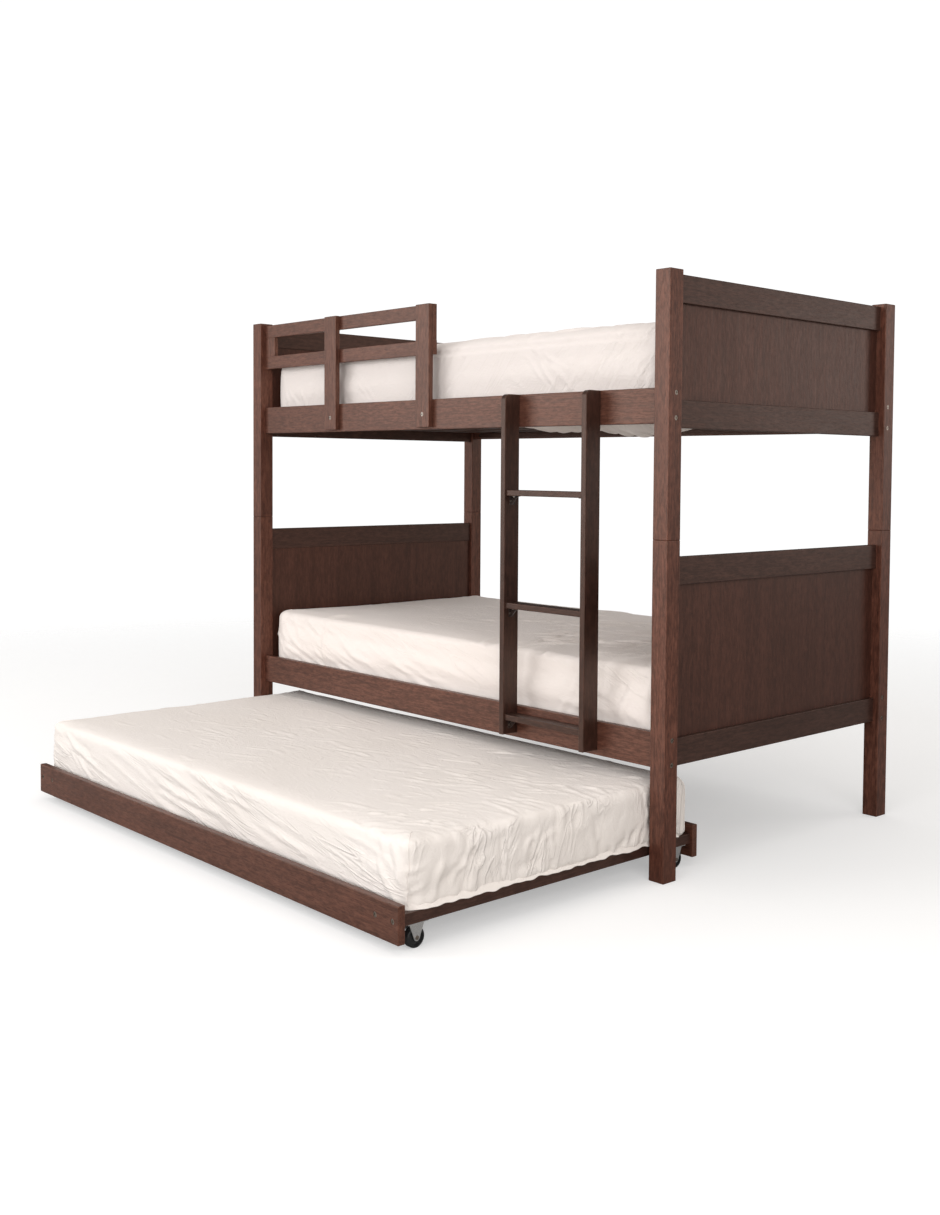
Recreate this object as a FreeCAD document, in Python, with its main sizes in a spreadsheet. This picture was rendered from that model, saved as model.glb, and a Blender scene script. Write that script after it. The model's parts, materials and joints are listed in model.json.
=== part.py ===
import FreeCAD, Part
import math
import os
import re
import Sketcher

# A bunk bed of two single beds stacked on one another, with a trundle bed on fixed casters
# that rolls out from under the lower one. It is drawn with the trundle rolled out.
# Millimetres. X runs along the bed, Y from the front to the back and Z up, and the origin is
# the centre of the floor rectangle that the whole bed covers.

SIZES = [
    # overall
    ("bed_length", 2032, "over the posts"),
    ("bed_width", 1080, "over the posts"),
    ("lower_post_height", 912, "floor to the joint between the two beds"),
    ("upper_post_height", 711, "joint to the top of the posts"),
    ("pull_out", 837, "trundle front ahead of the front posts"),
    # posts and boards
    ("post_side", 52, "square post"),
    ("arris", 2, "round on the edges of the boards and posts"),
    ("side_inset", 20, "side rails behind the faces of the posts"),
    ("side_rail_thick", 20, ""),
    ("side_rail_height", 95, ""),
    ("lower_rail_base", 300, "above the floor"),
    ("upper_rail_base", 308, "above the joint between the beds"),
    # end frames
    ("end_inset", 20, "end rails behind the faces of the posts"),
    ("end_rail_thick", 22, ""),
    ("end_rail_height", 75, ""),
    ("lower_end_base", 304, "bottom end rail above the floor"),
    ("upper_end_base", 297, "bottom end rail above the joint"),
    ("lower_end_drop", 46, "top end rail below the top of its posts"),
    ("upper_end_drop", 9, "top end rail below the top of its posts"),
    ("panel_thick", 6, ""),
    ("panel_setback", 13, "panel behind the outer face of its rails"),
    ("panel_reach", 8, "panel edge inside its groove"),
    ("groove_clear", 0.3, "around the panel edge"),
    ("tenon_depth", 14, ""),
    ("tenon_thick", 10, ""),
    ("tenon_shoulder", 10, "above and below the tenon"),
    ("tenon_clear", 0.2, "around the tenon"),
    ("groove_overrun", 7, "panel groove past the shoulders of an end rail"),
    # stacking pins
    ("pin_radius", 5, ""),
    ("pin_reach", 38, "into each post"),
    ("pin_clear", 0.2, ""),
    # bolts
    ("bolt_radius", 3, ""),
    ("bolt_clear", 0.3, ""),
    ("head_radius", 6.5, ""),
    ("head_height", 4, ""),
    ("head_recess", 1, "head below the face of the wood"),
    ("head_clear", 0.5, "around the head"),
    ("bolt_spacing", 66, "between the two bolts of a joint"),
    ("nut_radius", 5, "barrel nut"),
    ("nut_length", 14, ""),
    ("nut_clear", 0.2, ""),
    ("nut_setback", 34, "barrel nut from the end of its rail"),
    ("bolt_past_nut", 4, ""),
    ("bolt_end_gap", 1, "tip of a bolt to the bottom of its hole"),
    ("bolt_key", 3, "centre of a head to a corner of its hexagon socket"),
    ("bolt_key_depth", 2.4, ""),
    # slats and mattresses
    ("cleat_side", 20, ""),
    ("cleat_lift", 5, "cleat above the bottom of its rail"),
    ("cleat_end_gap", 60, "cleat clear of the barrel nuts"),
    ("slat_width", 70, ""),
    ("slat_thick", 15, ""),
    ("slat_clear", 3, "between slat end and rail"),
    ("slat_margin", 76, "first slat from the end frame"),
    ("mattress_thick", 225, ""),
    ("mattress_round", 30, "edges of the mattresses"),
    ("mattress_gap", 5, "mattress to side rail"),
    ("mattress_foot_gap", 2, "mattress to the right posts"),
    ("mattress_head_gap", 28, "mattress to the left posts"),
    # guard rail
    ("guard_reach", 981, "from the left post to the far edge of the end upright"),
    ("guard_board_thick", 15, ""),
    ("guard_board_height", 46, ""),
    ("guard_top_drop", 8, "guard below the top of the posts"),
    ("guard_gap", 67, "between the two guard boards"),
    ("upright_width", 68, ""),
    ("upright_thick", 18, ""),
    ("upright_lift", 6, "upright above the bottom of the side rail"),
    ("middle_upright_at", 406, "from the left post"),
    ("guard_clear", 0.5, "guard end to the left post"),
    ("guard_stile_width", 62, ""),
    # ladder
    ("ladder_at", 1366, "from the left post"),
    ("stile_thick", 19, ""),
    ("stile_depth", 57, ""),
    ("stile_foot", 15, "above the bottom of the lower side rail"),
    ("stile_corner", 18, "round at the front top corner"),
    ("tread_length", 311, ""),
    ("tread_thick", 17, ""),
    ("tread_depth", 45, ""),
    ("tread_setback", 6, "behind the front of the stiles"),
    ("tread_step", 330, "from tread to tread"),
    ("first_tread", 58, "underside of the lowest tread above the side rail's bottom"),
    ("bracket_leg", 26, ""),
    ("bracket_width", 20, ""),
    ("bracket_sheet", 2, ""),
    ("bracket_rib", 3, "gusset between the legs"),
    ("rib_margin", 1, "gusset inside the ends of the legs"),
    ("bracket_hole_at", 15.6, "screws from the corner of the bracket"),
    ("screw_radius", 1.8, ""),
    ("screw_length", 12, ""),
    ("screw_head_radius", 3.6, ""),
    ("screw_head_height", 1.6, ""),
    ("screw_key", 1.26, "centre of a head to a corner of its hexagon socket"),
    ("screw_key_depth", 0.96, ""),
    ("ladder_bolt_grip", 34, "ladder bolt inside the stile"),
    # trundle
    ("trundle_clear", 3, "trundle to the posts on each side"),
    ("trundle_depth", 1042, "over the front and rear boards"),
    ("trundle_board_height", 90, ""),
    ("trundle_board_thick", 20, ""),
    ("trundle_board_lift", 25, "boards above the floor"),
    ("member_width", 92, "flat end members"),
    ("member_thick", 28, ""),
    ("member_inset", 9, "end members inside the ends of the boards"),
    ("trundle_slat_thick", 15, ""),
    ("trundle_mattress_thick", 165, ""),
    ("trundle_mattress_gap", 6, "mattress to the front and rear boards"),
    ("trundle_mattress_inset", 3, "mattress inside the ends of the boards"),
    # casters
    ("wheel_radius", 25, ""),
    ("wheel_width", 18, ""),
    ("wheel_round", 3, ""),
    ("web_recess", 3, "hollow in each side of the wheel"),
    ("web_outer", 19, ""),
    ("web_inner", 8, ""),
    ("axle_radius", 3, ""),
    ("axle_clear", 0.05, "running clearance in the wheel"),
    ("wheel_side_clear", 1, "wheel to fork"),
    ("fork_sheet", 2, ""),
    ("fork_top", 44, "length of a fork cheek at the plate"),
    ("fork_foot_radius", 8, ""),
    ("plate_lift", 37, "top of the plate above the axle"),
    ("plate_length", 62, ""),
    ("plate_width", 36, ""),
    ("caster_inset", 20, "caster inside the outer edge of its end member"),
    ("caster_setback", 67, "caster from the face of the front or rear board"),
    ("rivet_radius", 5, ""),
    ("rivet_height", 1.5, ""),
    ("plate_screw_spread", 50, "between the two screws of a plate"),
]

# Places and lengths that follow from the sizes above.
PLACES = {
    "left": "-bed_length / 2",
    "right": "bed_length / 2",
    "front": "(pull_out - bed_width) / 2",
    "back": "front + bed_width",
    "post_inner_left": "left + post_side",
    "post_inner_right": "right - post_side",
    "rail_length": "bed_length - 2 * post_side",
    "end_rail_length": "bed_width - 2 * post_side",
    "rail_centre": "side_inset + side_rail_thick / 2",
    "upper_rail_z": "lower_post_height + upper_rail_base",
    "bed_top": "lower_post_height + upper_post_height",
    "berth_left": "left + end_inset + end_rail_thick",
    "berth_length": "bed_length - 2 * (end_inset + end_rail_thick)",
    "berth_front": "front + side_inset + side_rail_thick",
    "berth_width": "bed_width - 2 * (side_inset + side_rail_thick)",
    "deck_lift": "cleat_lift + cleat_side + slat_thick",
    "guard_left": "post_inner_left + guard_clear",
    "guard_right": "post_inner_left + guard_reach",
    "guard_top": "bed_top - guard_top_drop",
    "guard_low_z": "guard_top - 2 * guard_board_height - guard_gap",
    "rail_face": "front + side_inset",
    "upright_foot": "upper_rail_z + upright_lift",
    "ladder_left": "post_inner_left + ladder_at",
    "stile_base": "lower_rail_base + stile_foot",
    "tread_left": "ladder_left + stile_thick",
    "tread_front": "rail_face - stile_depth + tread_setback",
    "tread_z": "lower_rail_base + first_tread",
    "trundle_left": "post_inner_left + trundle_clear",
    "trundle_right": "post_inner_right - trundle_clear",
    "trundle_length": "trundle_right - trundle_left",
    "trundle_front": "front - pull_out",
    "trundle_inner_front": "trundle_front + trundle_board_thick",
    "trundle_inner_depth": "trundle_depth - 2 * trundle_board_thick",
    "fork_plate_z": "wheel_radius + plate_lift",
    "member_left": "trundle_left + member_inset",
    "member_right": "trundle_right - member_inset - member_width",
    "trundle_deck": "fork_plate_z + member_thick",
    "fork_half": "wheel_width / 2 + wheel_side_clear",
    "bolt_hole": "bolt_radius + bolt_clear",
    "head_hole": "head_radius + head_clear",
    "sink": "head_height + head_recess",
}

doc = FreeCAD.newDocument("TrundleBed")
sheet = doc.addObject("Spreadsheet::Sheet", "Sizes")
for row, (name, value, remark) in enumerate(SIZES, start=1):
    sheet.set("A%d" % row, name)
    sheet.set("B%d" % row, str(value))
    sheet.set("C%d" % row, remark)
    sheet.setAlias("B%d" % row, name)
doc.recompute()

ALIASES = {name for name, _, _ in SIZES}
SAME_PLACE = 0.01       # two places closer than this are one
SAME_WAY = 0.999        # cosine of two directions that are taken as one
FIRST_GUESS = 10.0      # a constraint's value until its expression sets it
subparts = []


def spell(text):
    """Write an expression in terms of the sheet's cells."""
    def word(match):
        name = match.group(0)
        if name in PLACES:
            return "(" + spell(PLACES[name]) + ")"
        if name in ALIASES:
            return "Sizes." + name
        return name
    return re.sub(r"[a-z_]+", word, str(text))


def bind(thing, prop, text):
    thing.setExpression(prop, spell(text))


def put(thing, at):
    for axis, text in zip("xyz", at):
        bind(thing, "Placement.Base." + axis, text)


def body(label, at=("0", "0", "0"), keep=True):
    """A body whose origin is at the given place."""
    made = doc.addObject("PartDesign::Body", label)
    made.Label = label
    put(made, at)
    if keep:
        subparts.append(made)
    return made


def sketch_on(owner, plane, at=("0", "0", "0")):
    """A sketch on an origin plane, moved along its own x, y and normal."""
    made = owner.newObject("Sketcher::SketchObject", owner.Label + "_sketch")
    support = [f for f in owner.Origin.OriginFeatures if f.Role == plane][0]
    made.AttachmentSupport = [(support, "")]
    made.MapMode = "FlatFace"
    for axis, text in zip("xyz", at):
        bind(made, "AttachmentOffset.Base." + axis, text)
    return made


def rule(sketch, kind, *where, **named):
    """Add a constraint, and tie it to the sheet when a size is given."""
    size = named.get("size")
    if size is None:
        sketch.addConstraint(Sketcher.Constraint(kind, *where))
        return
    index = sketch.addConstraint(Sketcher.Constraint(kind, *where, FIRST_GUESS))
    bind(sketch, "Constraints[%d]" % index, size)


def outline(sketch, corners):
    """Closed straight-sided outline, each corner pinned at its own x and y from the origin."""
    # a rough outline with no two points together, which the pins then pull into place
    points = [FreeCAD.Vector(10 * i, 7 * i * i, 0) for i in range(len(corners))]
    for start, end in zip(points, points[1:] + points[:1]):
        sketch.addGeometry(Part.LineSegment(start, end), False)
    count = len(corners)
    for i in range(count):
        rule(sketch, "Coincident", i, 2, (i + 1) % count, 1)
    for i, (x, y) in enumerate(corners):
        for kind, size in (("DistanceX", x), ("DistanceY", y)):
            rule(sketch, kind, -1, 1, i, 1, size=size)


def rectangle(sketch, width, height):
    """Rectangle with its first corner at the sketch's origin."""
    corners = [(0, 0), (10, 0), (10, 10), (0, 10)]
    points = [FreeCAD.Vector(x, y, 0) for x, y in corners]
    for start, end in zip(points, points[1:] + points[:1]):
        sketch.addGeometry(Part.LineSegment(start, end), False)
    for i in range(4):
        rule(sketch, "Coincident", i, 2, (i + 1) % 4, 1)
    rule(sketch, "Horizontal", 0)
    rule(sketch, "Vertical", 1)
    rule(sketch, "Horizontal", 2)
    rule(sketch, "Vertical", 3)
    rule(sketch, "Coincident", 0, 1, -1, 1)
    rule(sketch, "DistanceX", 0, 1, 0, 2, size=width)
    rule(sketch, "DistanceY", 1, 1, 1, 2, size=height)


def circle(sketch, radius):
    """Circle about the sketch's origin."""
    sketch.addGeometry(Part.Circle(FreeCAD.Vector(0, 0, 0), FreeCAD.Vector(0, 0, 1), 5.0), False)
    rule(sketch, "Coincident", 0, 3, -1, 1)
    rule(sketch, "Radius", 0, size=radius)


def pad(owner, sketch, length, back=False):
    made = owner.newObject("PartDesign::Pad", owner.Label + "_pad")
    made.Profile = sketch
    made.Reversed = back
    bind(made, "Length", length)
    sketch.Visibility = False
    return made


def pocket(owner, sketch, depth, along_normal):
    """Cut a sketch into a body; along_normal says which way it goes. The volume must fall."""
    doc.recompute()
    before = owner.Shape.Volume
    made = owner.newObject("PartDesign::Pocket", owner.Label + "_pocket")
    made.Profile = sketch
    made.Reversed = along_normal
    bind(made, "Length", depth)
    sketch.Visibility = False
    doc.recompute()
    if not owner.Shape.Volume < before - 1e-3:
        raise RuntimeError("a pocket in " + owner.Label + " cuts nothing")
    return made


def edges_along(shape, axes):
    """Names of the straight edges that run along the given axes."""
    names = []
    for i, edge in enumerate(shape.Edges, start=1):
        if edge.Curve.TypeId != "Part::GeomLine":
            continue
        run = edge.Curve.Direction
        if any(abs(getattr(run, axis)) > SAME_WAY for axis in axes):
            names.append("Edge%d" % i)
    return names


def ease(owner, axes, radius="arris"):
    """Round the edges that run along the given axes."""
    doc.recompute()
    base = owner.Tip
    made = owner.newObject("PartDesign::Fillet", owner.Label + "_ease")
    made.Base = (base, edges_along(base.Shape, axes))
    bind(made, "Radius", radius)
    return made


def round_front_top(owner, radius):
    """Round the one edge between the front face and the top."""
    doc.recompute()
    base = owner.Tip
    box = base.Shape.BoundBox
    names = []
    for i, edge in enumerate(base.Shape.Edges, start=1):
        middle = edge.CenterOfMass
        if abs(middle.z - box.ZMax) < SAME_PLACE and abs(middle.y - box.YMin) < SAME_PLACE:
            names.append("Edge%d" % i)
    made = owner.newObject("PartDesign::Fillet", owner.Label + "_corner")
    made.Base = (base, names)
    bind(made, "Radius", radius)
    return made


def board(label, at, size, axes="", keep=True):
    """A plain board: a rectangle padded up, with its edges eased along the given axes."""
    made = body(label, at, keep)
    section = sketch_on(made, "XY_Plane")
    rectangle(section, size[0], size[1])
    pad(made, section, size[2])
    if axes:
        ease(made, axes)
    return made


# Each origin plane: the axes of a sketch on it and the side that its normal points to.
PLANE = {
    "X": ("YZ_Plane", ("y", "z"), 1),
    "Y": ("XZ_Plane", ("x", "z"), -1),
    "Z": ("XY_Plane", ("x", "y"), 1),
}


def cut_from(owner, axis, at, depth, positive, shape, *sizes):
    """Cut a circle or rectangle along an axis, starting at a point in the body's own frame."""
    plane, across, normal = PLANE[axis]
    place = dict(zip("xyz", at))
    level = place[axis.lower()] if normal > 0 else "-(" + place[axis.lower()] + ")"
    section = sketch_on(owner, plane, (place[across[0]], place[across[1]], level))
    shape(section, *sizes)
    pocket(owner, section, depth, positive == (normal > 0))


def drill(owner, axis, at, radius, depth, positive=True):
    cut_from(owner, axis, at, depth, positive, circle, radius)


def slot(owner, axis, at, width, height, depth, positive=True):
    cut_from(owner, axis, at, depth, positive, rectangle, width, height)


def copies(label, master, places):
    """One node of identical loose pieces: a linked copy of the master at each place."""
    links = []
    for at, turn in places:
        link = doc.addObject("App::Link", label + "_piece")
        link.LinkedObject = master
        link.LinkTransform = False
        link.Placement = FreeCAD.Placement(FreeCAD.Vector(), turn)
        put(link, at)
        links.append(link)
    made = doc.addObject("Part::Compound", label)
    made.Label = label
    made.Links = links
    subparts.append(made)
    return made


UPRIGHT = FreeCAD.Rotation()
TO_PLUS_X = FreeCAD.Rotation(FreeCAD.Vector(0, 1, 0), 90)
TO_MINUS_X = FreeCAD.Rotation(FreeCAD.Vector(0, 1, 0), -90)
TO_PLUS_Y = FreeCAD.Rotation(FreeCAD.Vector(1, 0, 0), -90)
TO_MINUS_Y = FreeCAD.Rotation(FreeCAD.Vector(1, 0, 0), 90)
QUARTER_TURN = FreeCAD.Rotation(FreeCAD.Vector(0, 0, 1), 90)
HALF_TURN = FreeCAD.Rotation(FreeCAD.Vector(0, 0, 1), 180)

# The two beds: name, floor of its posts, post height, side rail bottom and end rail places,
# all but the first measured above the foot of its own posts.
BEDS = [
    ("lower", "0", "lower_post_height", "lower_rail_base", "lower_end_base", "lower_end_drop"),
    ("upper", "lower_post_height", "upper_post_height", "upper_rail_base", "upper_end_base",
     "upper_end_drop"),
]


def make_post(bed, side, end, foot, height, rail_base, end_base, end_drop):
    """One post with the groove and mortises of its end frame, its bolt holes and its pin hole."""
    x = "left" if end == "left" else "right - post_side"
    y = "front" if side == "front" else "back - post_side"
    post = board("%s_post_%s_%s" % (bed, side, end), (x, y, foot),
                 ("post_side", "post_side", height), "xyz")
    # the face towards the other post of the end frame
    inner_y = "post_side" if side == "front" else "0"
    into_post = side == "rear"
    outer = "end_inset" if end == "left" else "post_side - end_inset - end_rail_thick"
    panel = "panel_setback" if end == "left" else "end_rail_thick - panel_setback - panel_thick"
    top_rail = "%s - %s - end_rail_height" % (height, end_drop)
    groove_x = "%s + %s - groove_clear" % (outer, panel)
    slot(post, "Y", (groove_x, inner_y, end_base + " + end_rail_height - panel_reach - groove_clear"),
         "panel_thick + 2 * groove_clear",
         "%s - %s - end_rail_height + 2 * (panel_reach + groove_clear)" % (top_rail, end_base),
         "panel_reach + groove_clear", into_post)
    for rail in (end_base, top_rail):
        mortise = ("%s + (end_rail_thick - tenon_thick) / 2 - tenon_clear" % outer, inner_y,
                   "%s + tenon_shoulder - tenon_clear" % rail)
        slot(post, "Y", mortise, "tenon_thick + 2 * tenon_clear",
             "end_rail_height - 2 * tenon_shoulder + 2 * tenon_clear", "tenon_depth + tenon_clear", into_post)
    # two bolts run through the post into the side rail, their heads sunk in the outer face
    bolt_y = "rail_centre" if side == "front" else "post_side - rail_centre"
    head_x = "0" if end == "left" else "post_side"
    inward = end == "left"
    for sign in "-+":
        bolt_z = "%s + side_rail_height / 2 %s bolt_spacing / 2" % (rail_base, sign)
        drill(post, "X", (head_x, bolt_y, bolt_z), "head_hole", "sink", inward)
        drill(post, "X", (head_x, bolt_y, bolt_z), "bolt_hole", "post_side", inward)
    # the pin that keeps the upper bed on the lower one
    centre = ("post_side / 2", "post_side / 2", height if bed == "lower" else "0")
    drill(post, "Z", centre, "pin_radius + pin_clear", "pin_reach + pin_clear", bed == "upper")


def make_end_rail(bed, end, place, z):
    """One rail of an end frame, with a tenon at each end and the groove for the panel."""
    x = "left + end_inset" if end == "left" else "right - end_inset - end_rail_thick"
    rail = board("%s_%s_%s_rail" % (bed, end, place), (x, "front + post_side", z),
                 ("end_rail_thick", "end_rail_length", "end_rail_height"), "y")
    section = sketch_on(rail, "XZ_Plane",
                        ("(end_rail_thick - tenon_thick) / 2", "tenon_shoulder", "tenon_depth"))
    rectangle(section, "tenon_thick", "end_rail_height - 2 * tenon_shoulder")
    pad(rail, section, "end_rail_length + 2 * tenon_depth", back=True)
    panel = "panel_setback" if end == "left" else "end_rail_thick - panel_setback - panel_thick"
    edge_z = "end_rail_height" if place == "bottom" else "0"
    slot(rail, "Z", ("%s - groove_clear" % panel, "-groove_overrun", edge_z),
         "panel_thick + 2 * groove_clear", "end_rail_length + 2 * groove_overrun",
         "panel_reach + groove_clear", place == "top")


def make_panel(bed, end, z, height):
    """The thin panel between the two rails and the two posts of an end frame."""
    x = "left + end_inset + panel_setback"
    if end == "right":
        x = "right - end_inset - panel_setback - panel_thick"
    board("%s_%s_panel" % (bed, end), (x, "front + post_side - panel_reach", z + " - panel_reach"),
          ("panel_thick", "end_rail_length + 2 * panel_reach", height + " + 2 * panel_reach"))


def make_side_rail(bed, side, z):
    """One side rail, drilled at each end for two bolts and their barrel nuts."""
    y = "front + side_inset" if side == "front" else "back - side_inset - side_rail_thick"
    rail = board("%s_%s_side_rail" % (bed, side), ("post_inner_left", y, z),
                 ("rail_length", "side_rail_thick", "side_rail_height"), "x")
    inner_y = "side_rail_thick" if side == "front" else "0"
    for sign in "-+":
        bolt_z = "side_rail_height / 2 %s bolt_spacing / 2" % sign
        depth = "nut_setback + nut_radius + bolt_past_nut"
        for end_x, nut_x, inward in (("0", "nut_setback", True),
                                     ("rail_length", "rail_length - nut_setback", False)):
            drill(rail, "X", (end_x, "side_rail_thick / 2", bolt_z), "bolt_hole", depth, inward)
            drill(rail, "Y", (nut_x, inner_y, bolt_z), "nut_radius + nut_clear",
                  "(side_rail_thick + nut_length) / 2 + nut_clear", side == "rear")
    return rail


side_rails = {}
for bed, foot, height, rail_base, end_base, end_drop in BEDS:
    for side in ("front", "rear"):
        for end in ("left", "right"):
            make_post(bed, side, end, foot, height, rail_base, end_base, end_drop)
        side_rails[bed, side] = make_side_rail(bed, side, "%s + %s" % (foot, rail_base))
    for end in ("left", "right"):
        low = "%s + %s" % (foot, end_base)
        high = "%s + %s - %s - end_rail_height" % (foot, height, end_drop)
        make_end_rail(bed, end, "bottom", low)
        make_end_rail(bed, end, "top", high)
        make_panel(bed, end, low + " + end_rail_height",
                   "%s - %s - %s - 2 * end_rail_height" % (height, end_drop, end_base))


def fastener(label, radius, length, head_radius, head_height, key, key_depth):
    """Screw or bolt along +Z, with the underside of its head at the origin and a hexagon socket."""
    made = body(label, keep=False)
    for size, reach, back in ((radius, length, False), (head_radius, head_height, True)):
        section = sketch_on(made, "XY_Plane")
        circle(section, size)
        pad(made, section, reach, back)
    socket = sketch_on(made, "XY_Plane", ("0", "0", "-" + head_height))
    turns = [math.radians(60 * corner) for corner in range(6)]
    outline(socket, [("%.6f * %s" % (math.cos(turn), key), "%.6f * %s" % (math.sin(turn), key))
                     for turn in turns])
    pocket(made, socket, key_depth, True)
    return made


def bolt(label, length):
    return fastener(label, "bolt_radius", length, "head_radius", "head_height", "bolt_key", "bolt_key_depth")


def wood_screw(label):
    return fastener(label, "screw_radius", "screw_length", "screw_head_radius", "screw_head_height",
                    "screw_key", "screw_key_depth")


# Pins between the posts.
pin = body("stacking_pin", keep=False)
section = sketch_on(pin, "XY_Plane", ("0", "0", "-pin_reach"))
circle(section, "pin_radius")
pad(pin, section, "2 * pin_reach")
post_centres = [(x, y) for x in ("left + post_side / 2", "right - post_side / 2")
                for y in ("front + post_side / 2", "back - post_side / 2")]
copies("stacking_pins", pin, [((x, y, "lower_post_height"), UPRIGHT) for x, y in post_centres])

# Bolts and barrel nuts between the posts and the side rails.
bed_bolt = bolt("bed_bolt", "post_side - sink + nut_setback + nut_radius + bolt_past_nut - bolt_end_gap")
barrel_nut = body("barrel_nut", keep=False)
section = sketch_on(barrel_nut, "XY_Plane", ("0", "0", "-nut_length / 2"))
circle(section, "nut_radius")
pad(barrel_nut, section, "nut_length")
drill(barrel_nut, "X", ("-nut_radius", "0", "0"), "bolt_radius", "2 * nut_radius")
bolt_places = []
nut_places = []
for bed, foot, height, rail_base, end_base, end_drop in BEDS:
    for y in ("front + rail_centre", "back - rail_centre"):
        for sign in "-+":
            z = "%s + %s + side_rail_height / 2 %s bolt_spacing / 2" % (foot, rail_base, sign)
            bolt_places.append((("left + sink", y, z), TO_PLUS_X))
            bolt_places.append((("right - sink", y, z), TO_MINUS_X))
            nut_places.append((("post_inner_left + nut_setback", y, z), TO_PLUS_Y))
            nut_places.append((("post_inner_right - nut_setback", y, z), TO_PLUS_Y))
copies("bed_bolts", bed_bolt, bolt_places)
copies("barrel_nuts", barrel_nut, nut_places)

# Cleats and slats, and a mattress on each bed.
SLAT_COUNT = 12
TRUNDLE_SLAT_COUNT = 9
cleat = board("cleat", ("0", "0", "0"), ("rail_length - 2 * cleat_end_gap", "cleat_side", "cleat_side"),
              "x", keep=False)
cleat_places = []
for bed, foot, height, rail_base, end_base, end_drop in BEDS:
    for y in ("berth_front", "berth_front + berth_width - cleat_side"):
        z = "%s + %s + cleat_lift" % (foot, rail_base)
        cleat_places.append((("post_inner_left + cleat_end_gap", y, z), UPRIGHT))
copies("bed_cleats", cleat, cleat_places)

slat = board("slat", ("0", "0", "0"), ("slat_width", "berth_width - 2 * slat_clear", "slat_thick"),
             "y", keep=False)
for bed, foot, height, rail_base, end_base, end_drop in BEDS:
    z = "%s + %s + deck_lift" % (foot, rail_base)
    pitch = "(berth_length - 2 * slat_margin - slat_width) / %d" % (SLAT_COUNT - 1)
    first_x = "berth_left + slat_margin"
    copies(bed + "_slats", slat,
           [(("%s + %d * %s" % (first_x, i, pitch), "berth_front + slat_clear", z + " - slat_thick"), UPRIGHT)
            for i in range(SLAT_COUNT)])
    mattress = board(bed + "_mattress",
                     ("post_inner_left + mattress_head_gap", "berth_front + mattress_gap", z),
                     ("rail_length - mattress_head_gap - mattress_foot_gap",
                      "berth_width - 2 * mattress_gap", "mattress_thick"))
    ease(mattress, "xyz", "mattress_round")

# Guard rail: a frame above the side rail, held by two uprights bolted to the rail's face.
guard_size = ("guard_right - guard_left", "guard_board_thick", "guard_board_height")
board("guard_lower_board", ("guard_left", "rail_face", "guard_low_z"), guard_size, "x")
board("guard_top_board", ("guard_left", "rail_face", "guard_top - guard_board_height"), guard_size, "xz")
guard_stile = board("guard_stile", ("0", "0", "0"), ("guard_stile_width", "guard_board_thick", "guard_gap"),
                    "z", keep=False)
copies("guard_stiles", guard_stile,
       [((x, "rail_face", "guard_low_z + guard_board_height"), UPRIGHT)
        for x in ("guard_left", "guard_right - guard_stile_width")])
upper_front = side_rails["upper", "front"]
lower_front = side_rails["lower", "front"]
guard_bolt = bolt("guard_bolt", "upright_thick - sink + side_rail_thick - bolt_end_gap")
guard_bolt_places = []
for label, x in (("guard_middle_upright", "post_inner_left + middle_upright_at"),
                 ("guard_end_upright", "guard_right - upright_width")):
    upright = board(label, (x, "rail_face - upright_thick", "upright_foot"),
                    ("upright_width", "upright_thick", "guard_top - upright_foot"), "xyz")
    hole = ("upright_width / 2", "0", "side_rail_height / 2 - upright_lift")
    drill(upright, "Y", hole, "head_hole", "sink")
    drill(upright, "Y", hole, "bolt_hole", "upright_thick")
    centre = "%s + upright_width / 2" % x
    drill(upper_front, "Y", (centre + " - post_inner_left", "0", "side_rail_height / 2"),
          "bolt_radius", "side_rail_thick")
    level = "upper_rail_z + side_rail_height / 2"
    guard_bolt_places.append(((centre, "rail_face - upright_thick + sink", level), TO_PLUS_Y))
copies("guard_bolts", guard_bolt, guard_bolt_places)

# Ladder: two stiles bolted from behind through both front side rails, and three treads.
TREAD_COUNT = 3
ladder_bolt = bolt("ladder_bolt", "side_rail_thick - sink + ladder_bolt_grip")
ladder_bolt_places = []
for side, x in (("left", "ladder_left"), ("right", "tread_left + tread_length")):
    stile = board("ladder_%s_stile" % side, (x, "rail_face - stile_depth", "stile_base"),
                  ("stile_thick", "stile_depth", "upper_rail_z + side_rail_height - stile_base"))
    round_front_top(stile, "stile_corner")
    ease(stile, "yz")
    for rail, rail_z in ((lower_front, "lower_rail_base"), (upper_front, "upper_rail_z")):
        z = "%s + side_rail_height / 2" % rail_z
        centre = "%s + stile_thick / 2" % x
        drill(stile, "Y", ("stile_thick / 2", "stile_depth", z + " - stile_base"),
              "bolt_radius", "ladder_bolt_grip + bolt_end_gap", False)
        hole = (centre + " - post_inner_left", "side_rail_thick", "side_rail_height / 2")
        drill(rail, "Y", hole, "head_hole", "sink", False)
        drill(rail, "Y", hole, "bolt_hole", "side_rail_thick", False)
        ladder_bolt_places.append(((centre, "rail_face + side_rail_thick - sink", z), TO_MINUS_Y))
copies("ladder_bolts", ladder_bolt, ladder_bolt_places)

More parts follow.
